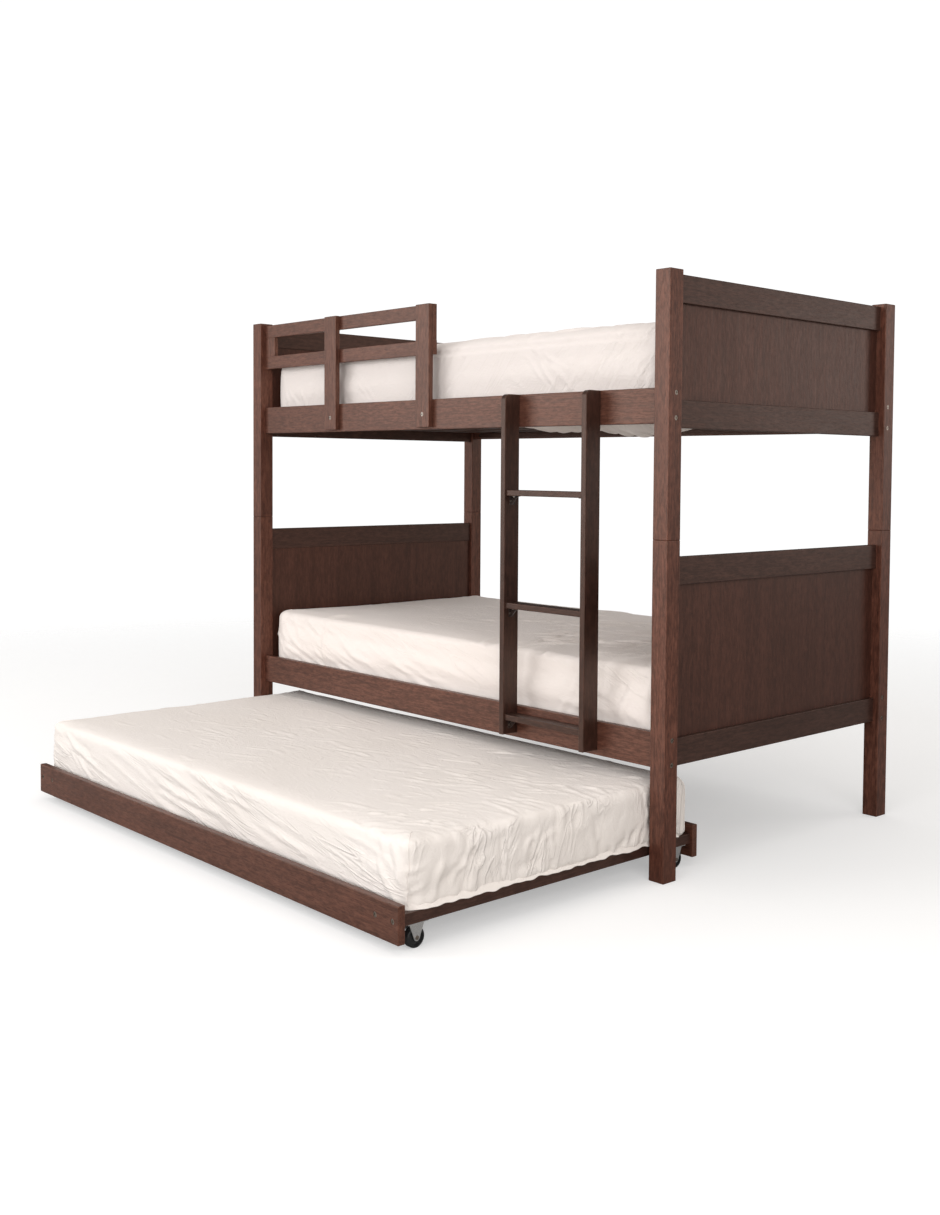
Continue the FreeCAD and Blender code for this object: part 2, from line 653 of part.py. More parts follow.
tread = board("ladder_tread", ("0", "0", "0"), ("tread_length", "tread_depth", "tread_thick"),
              "x", keep=False)
bracket = body("ladder_bracket", keep=False)
section = sketch_on(bracket, "XZ_Plane", ("0", "0", "-bracket_width / 2"))
outline(section, [("0", "0"), ("bracket_leg", "0"), ("bracket_leg", "-bracket_sheet"),
                  ("bracket_sheet", "-bracket_sheet"), ("bracket_sheet", "-bracket_leg"),
                  ("0", "-bracket_leg")])
pad(bracket, section, "bracket_width")
section = sketch_on(bracket, "XZ_Plane", ("0", "0", "-bracket_rib / 2"))
rib_end = "bracket_leg - rib_margin"
rib_root = "bracket_sheet / 2"
rib_rise = "bracket_sheet + rib_margin"
outline(section, [(rib_root, "-" + rib_root), (rib_end, "-" + rib_root), (rib_end, "-(%s)" % rib_rise),
                  (rib_rise, "-(%s)" % rib_end), (rib_root, "-(%s)" % rib_end)])
pad(bracket, section, "bracket_rib")
screw_off = "(bracket_rib + bracket_width) / 4"
for sign in ("", "-"):
    drill(bracket, "Z", ("bracket_hole_at", sign + screw_off, "0"), "screw_radius", "bracket_sheet", False)
    drill(bracket, "X", ("0", sign + screw_off, "-bracket_hole_at"), "screw_radius", "bracket_sheet", True)
screw = wood_screw("ladder_screw")
tread_places = []
bracket_places = []
screw_places = []
for i in range(TREAD_COUNT):
    z = "tread_z + %d * tread_step" % i
    y = "tread_front + tread_depth / 2"
    tread_places.append((("tread_left", "tread_front", z), UPRIGHT))
    for x, turn, sign, back, into in (("tread_left", UPRIGHT, "+", "-", TO_MINUS_X),
                                      ("tread_left + tread_length", HALF_TURN, "-", "+", TO_PLUS_X)):
        bracket_places.append(((x, y, z), turn))
        for shift in "+-":
            across = "%s %s %s" % (y, shift, screw_off)
            below = ("%s %s bracket_hole_at" % (x, sign), across, z + " - bracket_sheet")
            beside = ("%s %s bracket_sheet" % (x, sign), across, z + " - bracket_hole_at")
            screw_places.append((below, UPRIGHT))
            screw_places.append((beside, into))
copies("ladder_treads", tread, tread_places)
copies("ladder_brackets", bracket, bracket_places)
copies("ladder_screws", screw, screw_places)

# Trundle: front and rear boards bolted to two flat end members that carry the casters.
member_middle = "fork_plate_z + member_thick / 2"
trundle_bolt = bolt("trundle_bolt",
                    "trundle_board_thick - sink + nut_setback + nut_radius + bolt_past_nut - bolt_end_gap")
trundle_bolt_places = []
trundle_nut_places = []
for side, y, inward in (("front", "trundle_front", True),
                        ("rear", "trundle_front + trundle_depth - trundle_board_thick", False)):
    plank = board("trundle_%s_board" % side, ("trundle_left", y, "trundle_board_lift"),
                  ("trundle_length", "trundle_board_thick", "trundle_board_height"), "xyz")
    face = "0" if inward else "trundle_board_thick"
    outer = "trundle_front" if inward else "trundle_front + trundle_depth"
    for x in ("member_left", "member_right"):
        for sign in "-+":
            across = "%s + member_width / 2 %s bolt_spacing / 2" % (x, sign)
            hole = (across + " - trundle_left", face, member_middle + " - trundle_board_lift")
            drill(plank, "Y", hole, "head_hole", "sink", inward)
            drill(plank, "Y", hole, "bolt_hole", "trundle_board_thick", inward)
            inner = "+" if inward else "-"
            trundle_bolt_places.append(((across, "%s %s sink" % (outer, inner), member_middle),
                                        TO_PLUS_Y if inward else TO_MINUS_Y))
            nut_y = "%s %s (trundle_board_thick + nut_setback)" % (outer, inner)
            trundle_nut_places.append(((across, nut_y, member_middle), QUARTER_TURN))
for side, x in (("left", "member_left"), ("right", "member_right")):
    member = board("trundle_%s_member" % side, (x, "trundle_inner_front", "fork_plate_z"),
                   ("member_width", "trundle_inner_depth", "member_thick"), "y")
    far_nut = "trundle_inner_depth - nut_setback"
    for sign in "-+":
        across = "member_width / 2 %s bolt_spacing / 2" % sign
        for end_y, nut_y, inward in (("0", "nut_setback", True), ("trundle_inner_depth", far_nut, False)):
            drill(member, "Y", (across, end_y, "member_thick / 2"), "bolt_hole",
                  "nut_setback + nut_radius + bolt_past_nut", inward)
            drill(member, "Z", (across, nut_y, "member_thick"), "nut_radius + nut_clear",
                  "(member_thick + nut_length) / 2 + nut_clear", False)
copies("trundle_bolts", trundle_bolt, trundle_bolt_places)
copies("trundle_barrel_nuts", barrel_nut, trundle_nut_places)

between = "trundle_length - 2 * (member_inset + member_width)"
trundle_cleat = board("trundle_cleat", ("0", "0", "0"), (between, "cleat_side", "cleat_side"),
                      "x", keep=False)
cleat_z = "trundle_deck - trundle_slat_thick - cleat_side"
copies("trundle_cleats", trundle_cleat,
       [(("member_left + member_width", y, cleat_z), UPRIGHT)
        for y in ("trundle_inner_front", "trundle_inner_front + trundle_inner_depth - cleat_side")])
trundle_slat = board("trundle_slat", ("0", "0", "0"),
                     ("slat_width", "trundle_inner_depth - 2 * slat_clear", "trundle_slat_thick"),
                     "y", keep=False)
gap = "(%s - %d * slat_width) / %d" % (between, TRUNDLE_SLAT_COUNT, TRUNDLE_SLAT_COUNT + 1)
copies("trundle_slats", trundle_slat,
       [(("member_left + member_width + %d * (%s) + %d * slat_width" % (i + 1, gap, i),
          "trundle_inner_front + slat_clear", "trundle_deck - trundle_slat_thick"), UPRIGHT)
        for i in range(TRUNDLE_SLAT_COUNT)])
mattress = board("trundle_mattress",
                 ("trundle_left + trundle_mattress_inset", "trundle_inner_front + trundle_mattress_gap",
                  "trundle_deck"),
                 ("trundle_length - 2 * trundle_mattress_inset",
                  "trundle_inner_depth - 2 * trundle_mattress_gap", "trundle_mattress_thick"))
ease(mattress, "xyz", "mattress_round")

# Casters: fixed forks under the end members, and a wheel on a riveted axle in each.
fork = body("caster_fork", keep=False)
section = sketch_on(fork, "XY_Plane", ("-plate_width / 2", "-plate_length / 2", "plate_lift - fork_sheet"))
rectangle(section, "plate_width", "plate_length")
pad(fork, section, "fork_sheet")
for x in ("fork_half", "-fork_half - fork_sheet"):
    cheek = sketch_on(fork, "YZ_Plane", ("0", "0", x))
    # two slanted sides tangent to the round foot; these corners are roughly where the constraints put them
    corners = [(-22, 34), (22, 34), (7, -3), (-7, -3)]
    points = [FreeCAD.Vector(a, b, 0) for a, b in corners]
    foot = Part.Circle(FreeCAD.Vector(), FreeCAD.Vector(0, 0, 1), 8.0)
    cheek.addGeometry(Part.LineSegment(points[0], points[1]), False)
    cheek.addGeometry(Part.LineSegment(points[1], points[2]), False)
    cheek.addGeometry(Part.ArcOfCircle(foot, math.radians(200), math.radians(340)), False)
    cheek.addGeometry(Part.LineSegment(points[3], points[0]), False)
    rule(cheek, "Coincident", 0, 2, 1, 1)
    rule(cheek, "Coincident", 3, 2, 0, 1)
    rule(cheek, "Coincident", 2, 3, -1, 1)
    rule(cheek, "Tangent", 1, 2, 2, 2)
    rule(cheek, "Tangent", 3, 1, 2, 1)
    rule(cheek, "Symmetric", 0, 1, 0, 2, -2)
    rule(cheek, "DistanceX", 0, 1, 0, 2, size="fork_top")
    rule(cheek, "DistanceY", -1, 1, 0, 1, size="plate_lift - fork_sheet")
    rule(cheek, "Radius", 2, size="fork_foot_radius")
    pad(fork, cheek, "fork_sheet")
drill(fork, "X", ("-fork_half - fork_sheet", "0", "0"), "axle_radius", "2 * (fork_half + fork_sheet)")
for sign in ("", "-"):
    hole = ("0", sign + "plate_screw_spread / 2", "plate_lift")
    drill(fork, "Z", hole, "screw_radius", "fork_sheet", False)

axle = body("caster_axle", keep=False)
half_axle = "fork_half + fork_sheet"
for radius, start, reach in (("axle_radius", "-(%s)" % half_axle, "2 * (%s)" % half_axle),
                             ("rivet_radius", half_axle, "rivet_height"),
                             ("rivet_radius", "-(%s) - rivet_height" % half_axle, "rivet_height")):
    section = sketch_on(axle, "YZ_Plane", ("0", "0", start))
    circle(section, radius)
    pad(axle, section, reach)

caster_screw = wood_screw("caster_screw")
caster_places = []
for end, x in (("left", "member_left + caster_inset"),
               ("right", "member_right + member_width - caster_inset")):
    for side, y in (("front", "trundle_front + caster_setback"),
                    ("rear", "trundle_front + trundle_depth - caster_setback")):
        caster_places.append((x, y))
        wheel = body("%s_%s_wheel" % (side, end), (x, y, "wheel_radius"))
        profile = sketch_on(wheel, "XY_Plane")
        half = "wheel_width / 2"
        web = "wheel_width / 2 - web_recess"
        outline(profile, [("-" + half, "axle_radius + axle_clear"), (half, "axle_radius + axle_clear"),
                          (half, "web_inner"), (web, "web_inner"), (web, "web_outer"), (half, "web_outer"),
                          (half, "wheel_radius"), ("-" + half, "wheel_radius"), ("-" + half, "web_outer"),
                          ("web_recess - " + half, "web_outer"), ("web_recess - " + half, "web_inner"),
                          ("-" + half, "web_inner")])
        turned = wheel.newObject("PartDesign::Revolution", wheel.Label + "_turned")
        turned.Profile = profile
        turned.ReferenceAxis = (profile, ["H_Axis"])
        turned.Angle = 360
        doc.recompute()
        circles = [(i, edge.Curve.Radius) for i, edge in enumerate(turned.Shape.Edges, start=1)
                   if edge.Curve.TypeId == "Part::GeomCircle"]
        rim_radius = sheet.get("wheel_radius")
        rims = ["Edge%d" % i for i, size in circles if abs(size - rim_radius) < SAME_PLACE]
        rounded = wheel.newObject("PartDesign::Fillet", wheel.Label + "_rim")
        rounded.Base = (turned, rims)
        bind(rounded, "Radius", "wheel_round")
copies("caster_forks", fork, [((x, y, "wheel_radius"), UPRIGHT) for x, y in caster_places])
copies("caster_axles", axle, [((x, y, "wheel_radius"), UPRIGHT) for x, y in caster_places])
copies("caster_screws", caster_screw,
       [((x, "%s %s plate_screw_spread / 2" % (y, sign), "fork_plate_z - fork_sheet"), UPRIGHT)
        for x, y in caster_places for sign in "+-"])

doc.recompute()
for thing in doc.Objects:
    if "Invalid" in thing.State or "Error" in thing.State:
        raise RuntimeError("%s did not build: %s" % (thing.Label, thing.State))
for piece in subparts:
    if piece.Shape.isNull() or not piece.Shape.isValid():
        raise RuntimeError("%s has no valid shape" % piece.Label)
os.makedirs("parts", exist_ok=True)
for piece in subparts:
    piece.Shape.exportStep("parts/%s.step" % piece.Label)
print(len(subparts), "nodes")
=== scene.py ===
"""Finishes a bunk bed with a trundle: stained open-grain wood, steel fittings and three sheeted mattresses."""

import json
import math
import random

import bpy
import numpy as np
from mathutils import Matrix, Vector


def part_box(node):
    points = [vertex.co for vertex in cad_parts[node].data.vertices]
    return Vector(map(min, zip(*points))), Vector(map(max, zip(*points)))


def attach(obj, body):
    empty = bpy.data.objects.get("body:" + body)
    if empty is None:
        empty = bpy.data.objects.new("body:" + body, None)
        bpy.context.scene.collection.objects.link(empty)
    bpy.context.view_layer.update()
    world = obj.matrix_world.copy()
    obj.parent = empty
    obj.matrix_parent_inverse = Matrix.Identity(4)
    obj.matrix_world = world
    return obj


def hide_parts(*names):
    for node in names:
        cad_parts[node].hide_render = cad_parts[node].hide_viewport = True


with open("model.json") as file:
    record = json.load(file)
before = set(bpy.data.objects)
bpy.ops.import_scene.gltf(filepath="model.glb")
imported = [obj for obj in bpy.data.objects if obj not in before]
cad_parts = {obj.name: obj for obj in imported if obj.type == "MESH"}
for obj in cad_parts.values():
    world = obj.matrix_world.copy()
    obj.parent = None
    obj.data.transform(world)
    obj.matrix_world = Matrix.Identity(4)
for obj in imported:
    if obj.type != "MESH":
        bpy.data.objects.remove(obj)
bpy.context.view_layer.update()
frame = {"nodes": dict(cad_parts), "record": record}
nodes = frame["nodes"]
scene = bpy.context.scene


# ---------------------------------------------------------------- node helpers

def group_tree(name, takes, gives):
    """An empty shader group; takes and gives are (socket type, name, starting value) rows."""
    tree = bpy.data.node_groups.new(name, "ShaderNodeTree")
    for kind, label, start in takes:
        socket = tree.interface.new_socket(label, in_out="INPUT", socket_type="NodeSocket" + kind)
        if start is not None:
            socket.default_value = start
    for kind, label, _ in gives:
        tree.interface.new_socket(label, in_out="OUTPUT", socket_type="NodeSocket" + kind)
    return tree, tree.nodes.new("NodeGroupInput"), tree.nodes.new("NodeGroupOutput")


def add(tree, kind, *wires, **settings):
    """A node whose inputs are wired or set in order; None leaves an input as it is."""
    node = tree.nodes.new("ShaderNode" + kind)
    for key, value in settings.items():
        setattr(node, key, value)
    for socket, wire in zip(node.inputs, wires):
        if wire is None:
            continue
        if isinstance(wire, bpy.types.NodeSocket):
            tree.links.new(wire, socket)
        else:
            socket.default_value = wire
    return node


def sums(tree, operation, first, second, third=None, clamp=False):
    node = add(tree, "Math", first, second, third, operation=operation)
    node.use_clamp = clamp
    return node.outputs[0]


def noise(tree, where, scale, detail=3.0, rough=0.5, distort=0.0):
    node = add(tree, "TexNoise", where)
    node.inputs["Scale"].default_value = scale
    node.inputs["Detail"].default_value = detail
    node.inputs["Roughness"].default_value = rough
    node.inputs["Distortion"].default_value = distort
    return node.outputs["Fac"]


def ramp(tree, value, low, high, from_value=0.0, to_value=1.0):
    """A straight ramp of a value between low and high, held at both ends."""
    return add(tree, "MapRange", value, low, high, from_value, to_value).outputs[0]


def stretch(tree, where, x, y, z):
    return add(tree, "VectorMath", where, (x, y, z), operation="MULTIPLY").outputs[0]


def blend_colors(tree, share, first, second, mode="MIX"):
    node = tree.nodes.new("ShaderNodeMix")
    node.data_type = "RGBA"
    node.blend_type = mode
    for socket, wire in ((node.inputs[0], share), (node.inputs[6], first), (node.inputs[7], second)):
        if isinstance(wire, bpy.types.NodeSocket):
            tree.links.new(wire, socket)
        else:
            socket.default_value = wire
    return node.outputs[2]


# ---------------------------------------------------------------- shared effects

def build_open_grain():
    """Stained timber with its fibres along X: broad figure, fine fibres and open pores."""
    tree, entry, result = group_tree("open_grain", [
        ("Vector", "Place", None), ("Color", "Dark", (0.02, 0.01, 0.008, 1)),
        ("Color", "Mid", (0.06, 0.03, 0.02, 1)), ("Color", "Light", (0.12, 0.06, 0.04, 1)), ("Float", "Figure", 0.5),
        ("Float", "Gloss", 0.4), ("Float", "Cloud", 0.5), ("Float", "Fibre", 0.85)],
        [("Color", "Color", None), ("Float", "Roughness", None), ("Float", "Height", None)])
    place, dark, mid, light, figure, gloss, cloud, fibres = [entry.outputs[k] for k in range(8)]
    drift = noise(tree, stretch(tree, place, 1.3, 7.0, 7.0), 1.0, 2.0)
    bent = add(tree, "VectorMath", place, stretch(tree, drift, 0.0, 0.03, 0.03), operation="ADD").outputs[0]
    broad = noise(tree, stretch(tree, bent, 1.1, 42.0, 42.0), 1.0, 4.0, 0.55, 0.4)
    fibre = noise(tree, stretch(tree, bent, 9.0, 380.0, 380.0), 1.0, 3.0, 0.6)
    pores = noise(tree, stretch(tree, bent, 38.0, 1250.0, 1250.0), 1.0, 2.0, 0.5)
    mottle = noise(tree, stretch(tree, place, 3.0, 6.0, 6.0), 1.0, 2.0)
    specks = noise(tree, stretch(tree, place, 55.0, 520.0, 520.0), 1.0, 3.0, 0.65)
    clouds = noise(tree, stretch(tree, place, 34.0, 130.0, 130.0), 1.0, 4.0, 0.68, 0.3)
    pore = sums(tree, "MAXIMUM", ramp(tree, pores, 0.56, 0.68), ramp(tree, specks, 0.56, 0.70, 0.0, 0.8))
    figured = sums(tree, "MULTIPLY", ramp(tree, broad, 0.30, 0.70), figure)
    body = blend_colors(tree, figured, mid, dark)
    fibred = blend_colors(tree, sums(tree, "MULTIPLY", ramp(tree, fibre, 0.40, 0.72), fibres), body, light)
    clear = sums(tree, "MULTIPLY", ramp(tree, clouds, 0.50, 0.66), cloud)
    fibred = blend_colors(tree, sums(tree, "MULTIPLY", clear, 0.8), fibred, light)
    murky = sums(tree, "MULTIPLY", ramp(tree, clouds, 0.50, 0.36), cloud)
    fibred = blend_colors(tree, murky, fibred, dark)
    toned = blend_colors(tree, ramp(tree, mottle, 0.35, 0.75, 0.0, 0.30), fibred, dark)
    holed = blend_colors(tree, sums(tree, "MULTIPLY", pore, 0.85), toned, dark)
    rough = sums(tree, "ADD", gloss, ramp(tree, fibre, 0.3, 0.7, -0.05, 0.07))
    rough = sums(tree, "ADD", rough, sums(tree, "MULTIPLY", pore, 0.12))
    height = sums(tree, "SUBTRACT", sums(tree, "MULTIPLY", fibre, 0.6), sums(tree, "MULTIPLY", pore, 0.5))
    tree.links.new(holed, result.inputs["Color"])
    tree.links.new(rough, result.inputs["Roughness"])
    tree.links.new(height, result.inputs["Height"])
    return tree


def build_arris_wear_and_highlight():
    """Mask of the arrises, where hands and cloths have thinned the stain and where a painted highlight lightens the
    edge line.
    """
    tree, entry, result = group_tree("arris_wear_and_highlight", [
        ("Vector", "Place", None), ("Float", "Reach", 0.003), ("Float", "Wander", 18.0)], [("Float", "Mask", None)])
    softened = tree.nodes.new("ShaderNodeBevel")
    softened.samples = 4
    tree.links.new(entry.outputs["Reach"], softened.inputs["Radius"])
    facing = tree.nodes.new("ShaderNodeNewGeometry")
    same = add(tree, "VectorMath", softened.outputs[0], facing.outputs["True Normal"], operation="DOT_PRODUCT")
    turned = ramp(tree, same.outputs["Value"], 0.995, 0.90)
    patchy = tree.nodes.new("ShaderNodeTexNoise")
    tree.links.new(entry.outputs["Place"], patchy.inputs["Vector"])
    tree.links.new(entry.outputs["Wander"], patchy.inputs["Scale"])
    kept = ramp(tree, patchy.outputs["Fac"], 0.38, 0.62)
    tree.links.new(sums(tree, "MULTIPLY", turned, kept), result.inputs["Mask"])
    return tree


def build_plain_weave():
    """Plain cotton weave of the fitted sheets, with slubs and a slow unevenness in the yarn."""
    tree, entry, result = group_tree("plain_weave", [("Vector", "Place", None), ("Float", "Pitch", 0.0009)],
                                     [("Float", "Height", None), ("Float", "Slub", None), ("Float", "Crumple", None)])
    place, pitch = entry.outputs[0], entry.outputs[1]
    turns = sums(tree, "DIVIDE", 2 * math.pi, pitch)
    axes = add(tree, "SeparateXYZ", place).outputs
    threads = None
    for axis in axes:
        thread = sums(tree, "SINE", sums(tree, "MULTIPLY", axis, turns), 0.0)
        threads = thread if threads is None else sums(tree, "ADD", threads, thread)
    slub = noise(tree, stretch(tree, place, 60.0, 420.0, 420.0), 1.0, 2.0)
    first = noise(tree, stretch(tree, place, 16.0, 34.0, 30.0), 1.0, 3.0, 0.55, 1.2)
    second = noise(tree, stretch(tree, place, 45.0, 70.0, 70.0), 1.0, 2.0, 0.5, 0.8)
    ridge = sums(tree, "ABSOLUTE", sums(tree, "SUBTRACT", first, 0.5), 0.0)
    fine = sums(tree, "ABSOLUTE", sums(tree, "SUBTRACT", second, 0.5), 0.0)
    crumple = sums(tree, "ADD", ridge, sums(tree, "MULTIPLY", fine, 0.4))
    tree.links.new(threads, result.inputs["Height"])
    tree.links.new(slub, result.inputs["Slub"])
    tree.links.new(crumple, result.inputs["Crumple"])
    return tree


def build_hanging_folds():
    """Fine sharp creases that run along X, in clusters, as in a sheet drawn over the side of a mattress."""
    tree, entry, result = group_tree("hanging_folds", [("Vector", "Place", None)], [("Float", "Ridge", None)])
    place = entry.outputs[0]
    long = noise(tree, stretch(tree, place, 3.2, 16.0, 26.0), 1.0, 1.5, 0.5, 0.5)
    short = noise(tree, stretch(tree, place, 7.0, 30.0, 52.0), 1.0, 1.5, 0.5, 0.6)
    ridges = []
    for wave, shift, thin in ((long, 0.50, 0.035), (long, 0.42, 0.030), (short, 0.50, 0.040)):
        offset = sums(tree, "ABSOLUTE", sums(tree, "SUBTRACT", wave, shift), 0.0)
        ridges.append(ramp(tree, offset, 0.0, thin, 1.0, 0.0))
    where = ramp(tree, noise(tree, stretch(tree, place, 2.2, 5.0, 7.0), 1.0, 2.0), 0.40, 0.62)
    whole = sums(tree, "ADD", sums(tree, "ADD", ridges[0], ridges[1]), sums(tree, "MULTIPLY", ridges[2], 0.5))
    broad = sums(tree, "ADD", sums(tree, "MULTIPLY", long, 2.0), whole)
    tree.links.new(sums(tree, "MULTIPLY", broad, where), result.inputs["Ridge"])
    return tree


OPEN_GRAIN = build_open_grain()
HANGING_FOLDS = build_hanging_folds()
ARRIS_WEAR_AND_HIGHLIGHT = build_arris_wear_and_highlight()
PLAIN_WEAVE = build_plain_weave()


# ---------------------------------------------------------------- finishes

def new_finish(name):
    finish = bpy.data.materials.new(name)
    finish.use_nodes = True
    tree = finish.node_tree
    shader = tree.nodes["Principled BSDF"]
    return finish, tree, shader


def placed(tree, turn=(0.0, 0.0, 0.0), shift=(0.0, 0.0, 0.0)):
    """Object coordinates, turned so that the grain runs along X and shifted to another part of the log."""
    where = tree.nodes.new("ShaderNodeTexCoord")
    return add(tree, "Mapping", where.outputs["Object"], shift, turn).outputs[0]


def use(tree, effect, **values):
    node = tree.nodes.new("ShaderNodeGroup")
    node.node_tree = effect
    for label, value in values.items():
        socket = node.inputs[label]
        if isinstance(value, bpy.types.NodeSocket):
            tree.links.new(value, socket)
        else:
            socket.default_value = value
    return node.outputs


def bump(tree, shader, height, distance, strength=1.0, under=None):
    node = tree.nodes.new("ShaderNodeBump")
    node.inputs["Strength"].default_value = strength
    node.inputs["Distance"].default_value = distance
    tree.links.new(height, node.inputs["Height"])
    if under is not None:
        tree.links.new(under, node.inputs["Normal"])
    tree.links.new(node.outputs[0], shader.inputs["Normal"])
    return node.outputs[0]


GRAIN_TURN = {"X": (0.0, 0.0, 0.0), "Y": (0.0, 0.0, math.radians(-90)), "Z": (0.0, math.radians(90), 0.0)}

STAIN = {
    "board": dict(Dark=(0.034, 0.0110, 0.0070, 1), Mid=(0.098, 0.0340, 0.0215, 1), Light=(0.190, 0.0780, 0.0510, 1)),
    "post": dict(Dark=(0.030, 0.0085, 0.0054, 1), Mid=(0.098, 0.0300, 0.0180, 1), Light=(0.200, 0.0740, 0.0470, 1)),
    "end": dict(Dark=(0.018, 0.0076, 0.0060, 1), Mid=(0.046, 0.0200, 0.0148, 1), Light=(0.088, 0.0410, 0.0310, 1)),
    "panel": dict(Dark=(0.026, 0.0080, 0.0055, 1), Mid=(0.068, 0.0235, 0.0155, 1), Light=(0.118, 0.0440, 0.0300, 1)),
    "ladder": dict(Dark=(0.010, 0.0040, 0.0028, 1), Mid=(0.028, 0.0105, 0.0070, 1), Light=(0.066, 0.0270, 0.0190, 1)),
    "slat": dict(Dark=(0.020, 0.0090, 0.0070, 1), Mid=(0.045, 0.0200, 0.0150, 1), Light=(0.080, 0.0400, 0.0300, 1)),
}
# How cloudy the stain lies, and how strongly the pale fibres show through it.
SPECKLE = {"panel": dict(Cloud=0.50, Fibre=0.35)}
BOARD_SPECKLE = dict(Cloud=0.60, Fibre=0.75)
LACQUER_TINT = (1.0, 0.66, 0.52, 1)
WORN_AND_LIT_ARRIS = (0.24, 0.125, 0.085, 1)       # partly bare wood where an arris is worn, partly a painted highlight along the arris
NEXT_LOG = (0.37, 0.211, 0.153)           # from one piece's stretch of timber to the next one's
GRAIN_DEPTH = 0.00012


def stained_wood(name, along, stain, log):
    """Dark stain under satin lacquer; log picks another stretch of timber for each piece."""
    finish, tree, shader = new_finish("stained_" + name)
    place = placed(tree, GRAIN_TURN[along], [step * log for step in NEXT_LOG])
    grain = use(tree, OPEN_GRAIN, Place=place, Figure=0.85, Gloss=0.42, **SPECKLE.get(stain, BOARD_SPECKLE),
                **STAIN[stain])
    # The arris mask paints both wear that bares the wood and a painted highlight along each edge.
    arris_wear_and_lit = use(tree, ARRIS_WEAR_AND_HIGHLIGHT, Place=place, Reach=0.0022, Wander=11.0)
    thin = sums(tree, "MULTIPLY", arris_wear_and_lit["Mask"], 0.45)
    tone = blend_colors(tree, thin, grain["Color"], WORN_AND_LIT_ARRIS)
    tree.links.new(tone, shader.inputs["Base Color"])
    tree.links.new(grain["Roughness"], shader.inputs["Roughness"])
    shader.inputs["Specular IOR Level"].default_value = 0.65
    shader.inputs["Specular Tint"].default_value = LACQUER_TINT
    shader.inputs["Coat Weight"].default_value = 0.10
    shader.inputs["Coat Roughness"].default_value = 0.36
    bump(tree, shader, grain["Height"], GRAIN_DEPTH, 0.5)
    return finish


THREAD_PITCH = 0.0011
THREAD_DEPTH = 0.00012
CREASE_DEPTH = 0.004
UPRIGHT_FOLDS = (math.radians(16), math.radians(90), 0.0)     # how the end of a sheet turns its fine folds


def sheet_cotton(name, tone, shade, fall=0.0, slack=0.0):
    """Cream cotton of a fitted sheet; its fine side creases run down towards +X at fall degrees."""
    finish, tree, shader = new_finish("cotton_" + name)
    place = placed(tree)
    weave = use(tree, PLAIN_WEAVE, Place=place, Pitch=THREAD_PITCH)
    uneven = noise(tree, stretch(tree, place, 3.0, 4.0, 5.0), 1.0, 3.0)
    base = blend_colors(tree, ramp(tree, uneven, 0.3, 0.7, 0.0, 0.6), tone, shade)
    yarn = blend_colors(tree, ramp(tree, weave["Slub"], 0.35, 0.75, 0.0, 0.22), base, shade)
    tree.links.new(yarn, shader.inputs["Base Color"])
    tree.links.new(ramp(tree, weave["Slub"], 0.3, 0.7, 0.84, 0.94), shader.inputs["Roughness"])
    shader.inputs["Specular IOR Level"].default_value = 0.25
    shader.inputs["Sheen Weight"].default_value = 0.12
    shader.inputs["Sheen Roughness"].default_value = 0.5
    woven = bump(tree, shader, weave["Height"], THREAD_DEPTH, 0.25)
    tilted = placed(tree, (0.0, math.radians(-fall), 0.0))
    folds = use(tree, HANGING_FOLDS, Place=tilted)["Ridge"]
    facing = add(tree, "SeparateXYZ", tree.nodes.new("ShaderNodeNewGeometry").outputs["True Normal"])
    level = sums(tree, "MAXIMUM", sums(tree, "ABSOLUTE", facing.outputs[2], 0.0),
                 sums(tree, "ABSOLUTE", facing.outputs[0], 0.0))
    upright = ramp(tree, level, 0.45, 0.80, slack, 0.0)
    relief = sums(tree, "ADD", weave["Crumple"], sums(tree, "MULTIPLY", folds, upright))
    steep = use(tree, HANGING_FOLDS, Place=placed(tree, UPRIGHT_FOLDS))["Ridge"]
    ends = ramp(tree, sums(tree, "ABSOLUTE", facing.outputs[0], 0.0), 0.55, 0.85, 0.0, 1.8 * slack)
    relief = sums(tree, "ADD", relief, sums(tree, "MULTIPLY", steep, ends))
    bump(tree, shader, relief, CREASE_DEPTH, 0.55, woven)
    return finish


def zinc_sheet():
    """Bright zinc on pressed steel, with spangle and a few dull patches."""
    finish, tree, shader = new_finish("zinc_plate")
    place = placed(tree)
    spangle = add(tree, "TexVoronoi", place)
    spangle.inputs["Scale"].default_value = 420.0
    dull = noise(tree, place, 70.0, 4.0, 0.6)
    flakes = ramp(tree, spangle.outputs["Distance"], 0.1, 0.7)
    tint = blend_colors(tree, flakes, (0.78, 0.78, 0.77, 1), (0.60, 0.61, 0.62, 1))
    tree.links.new(tint, shader.inputs["Base Color"])
    tree.links.new(ramp(tree, dull, 0.3, 0.7, 0.26, 0.46), shader.inputs["Roughness"])
    shader.inputs["Metallic"].default_value = 0.9
    bump(tree, shader, dull, 0.0002, 0.4)
    return finish


def browned_steel():
    """Browned steel of the bolt and screw heads, with fine bright scratches."""
    finish, tree, shader = new_finish("browned_steel")
    place = placed(tree)
    scratch = noise(tree, stretch(tree, place, 900.0, 2600.0, 240.0), 1.0, 3.0)
    tint = blend_colors(tree, ramp(tree, scratch, 0.35, 0.7), (0.17, 0.14, 0.12, 1), (0.50, 0.44, 0.38, 1))
    tree.links.new(tint, shader.inputs["Base Color"])
    tree.links.new(ramp(tree, scratch, 0.3, 0.7, 0.24, 0.42), shader.inputs["Roughness"])
    shader.inputs["Metallic"].default_value = 1.0
    bump(tree, shader, scratch, 0.0001, 0.4)
    return finish


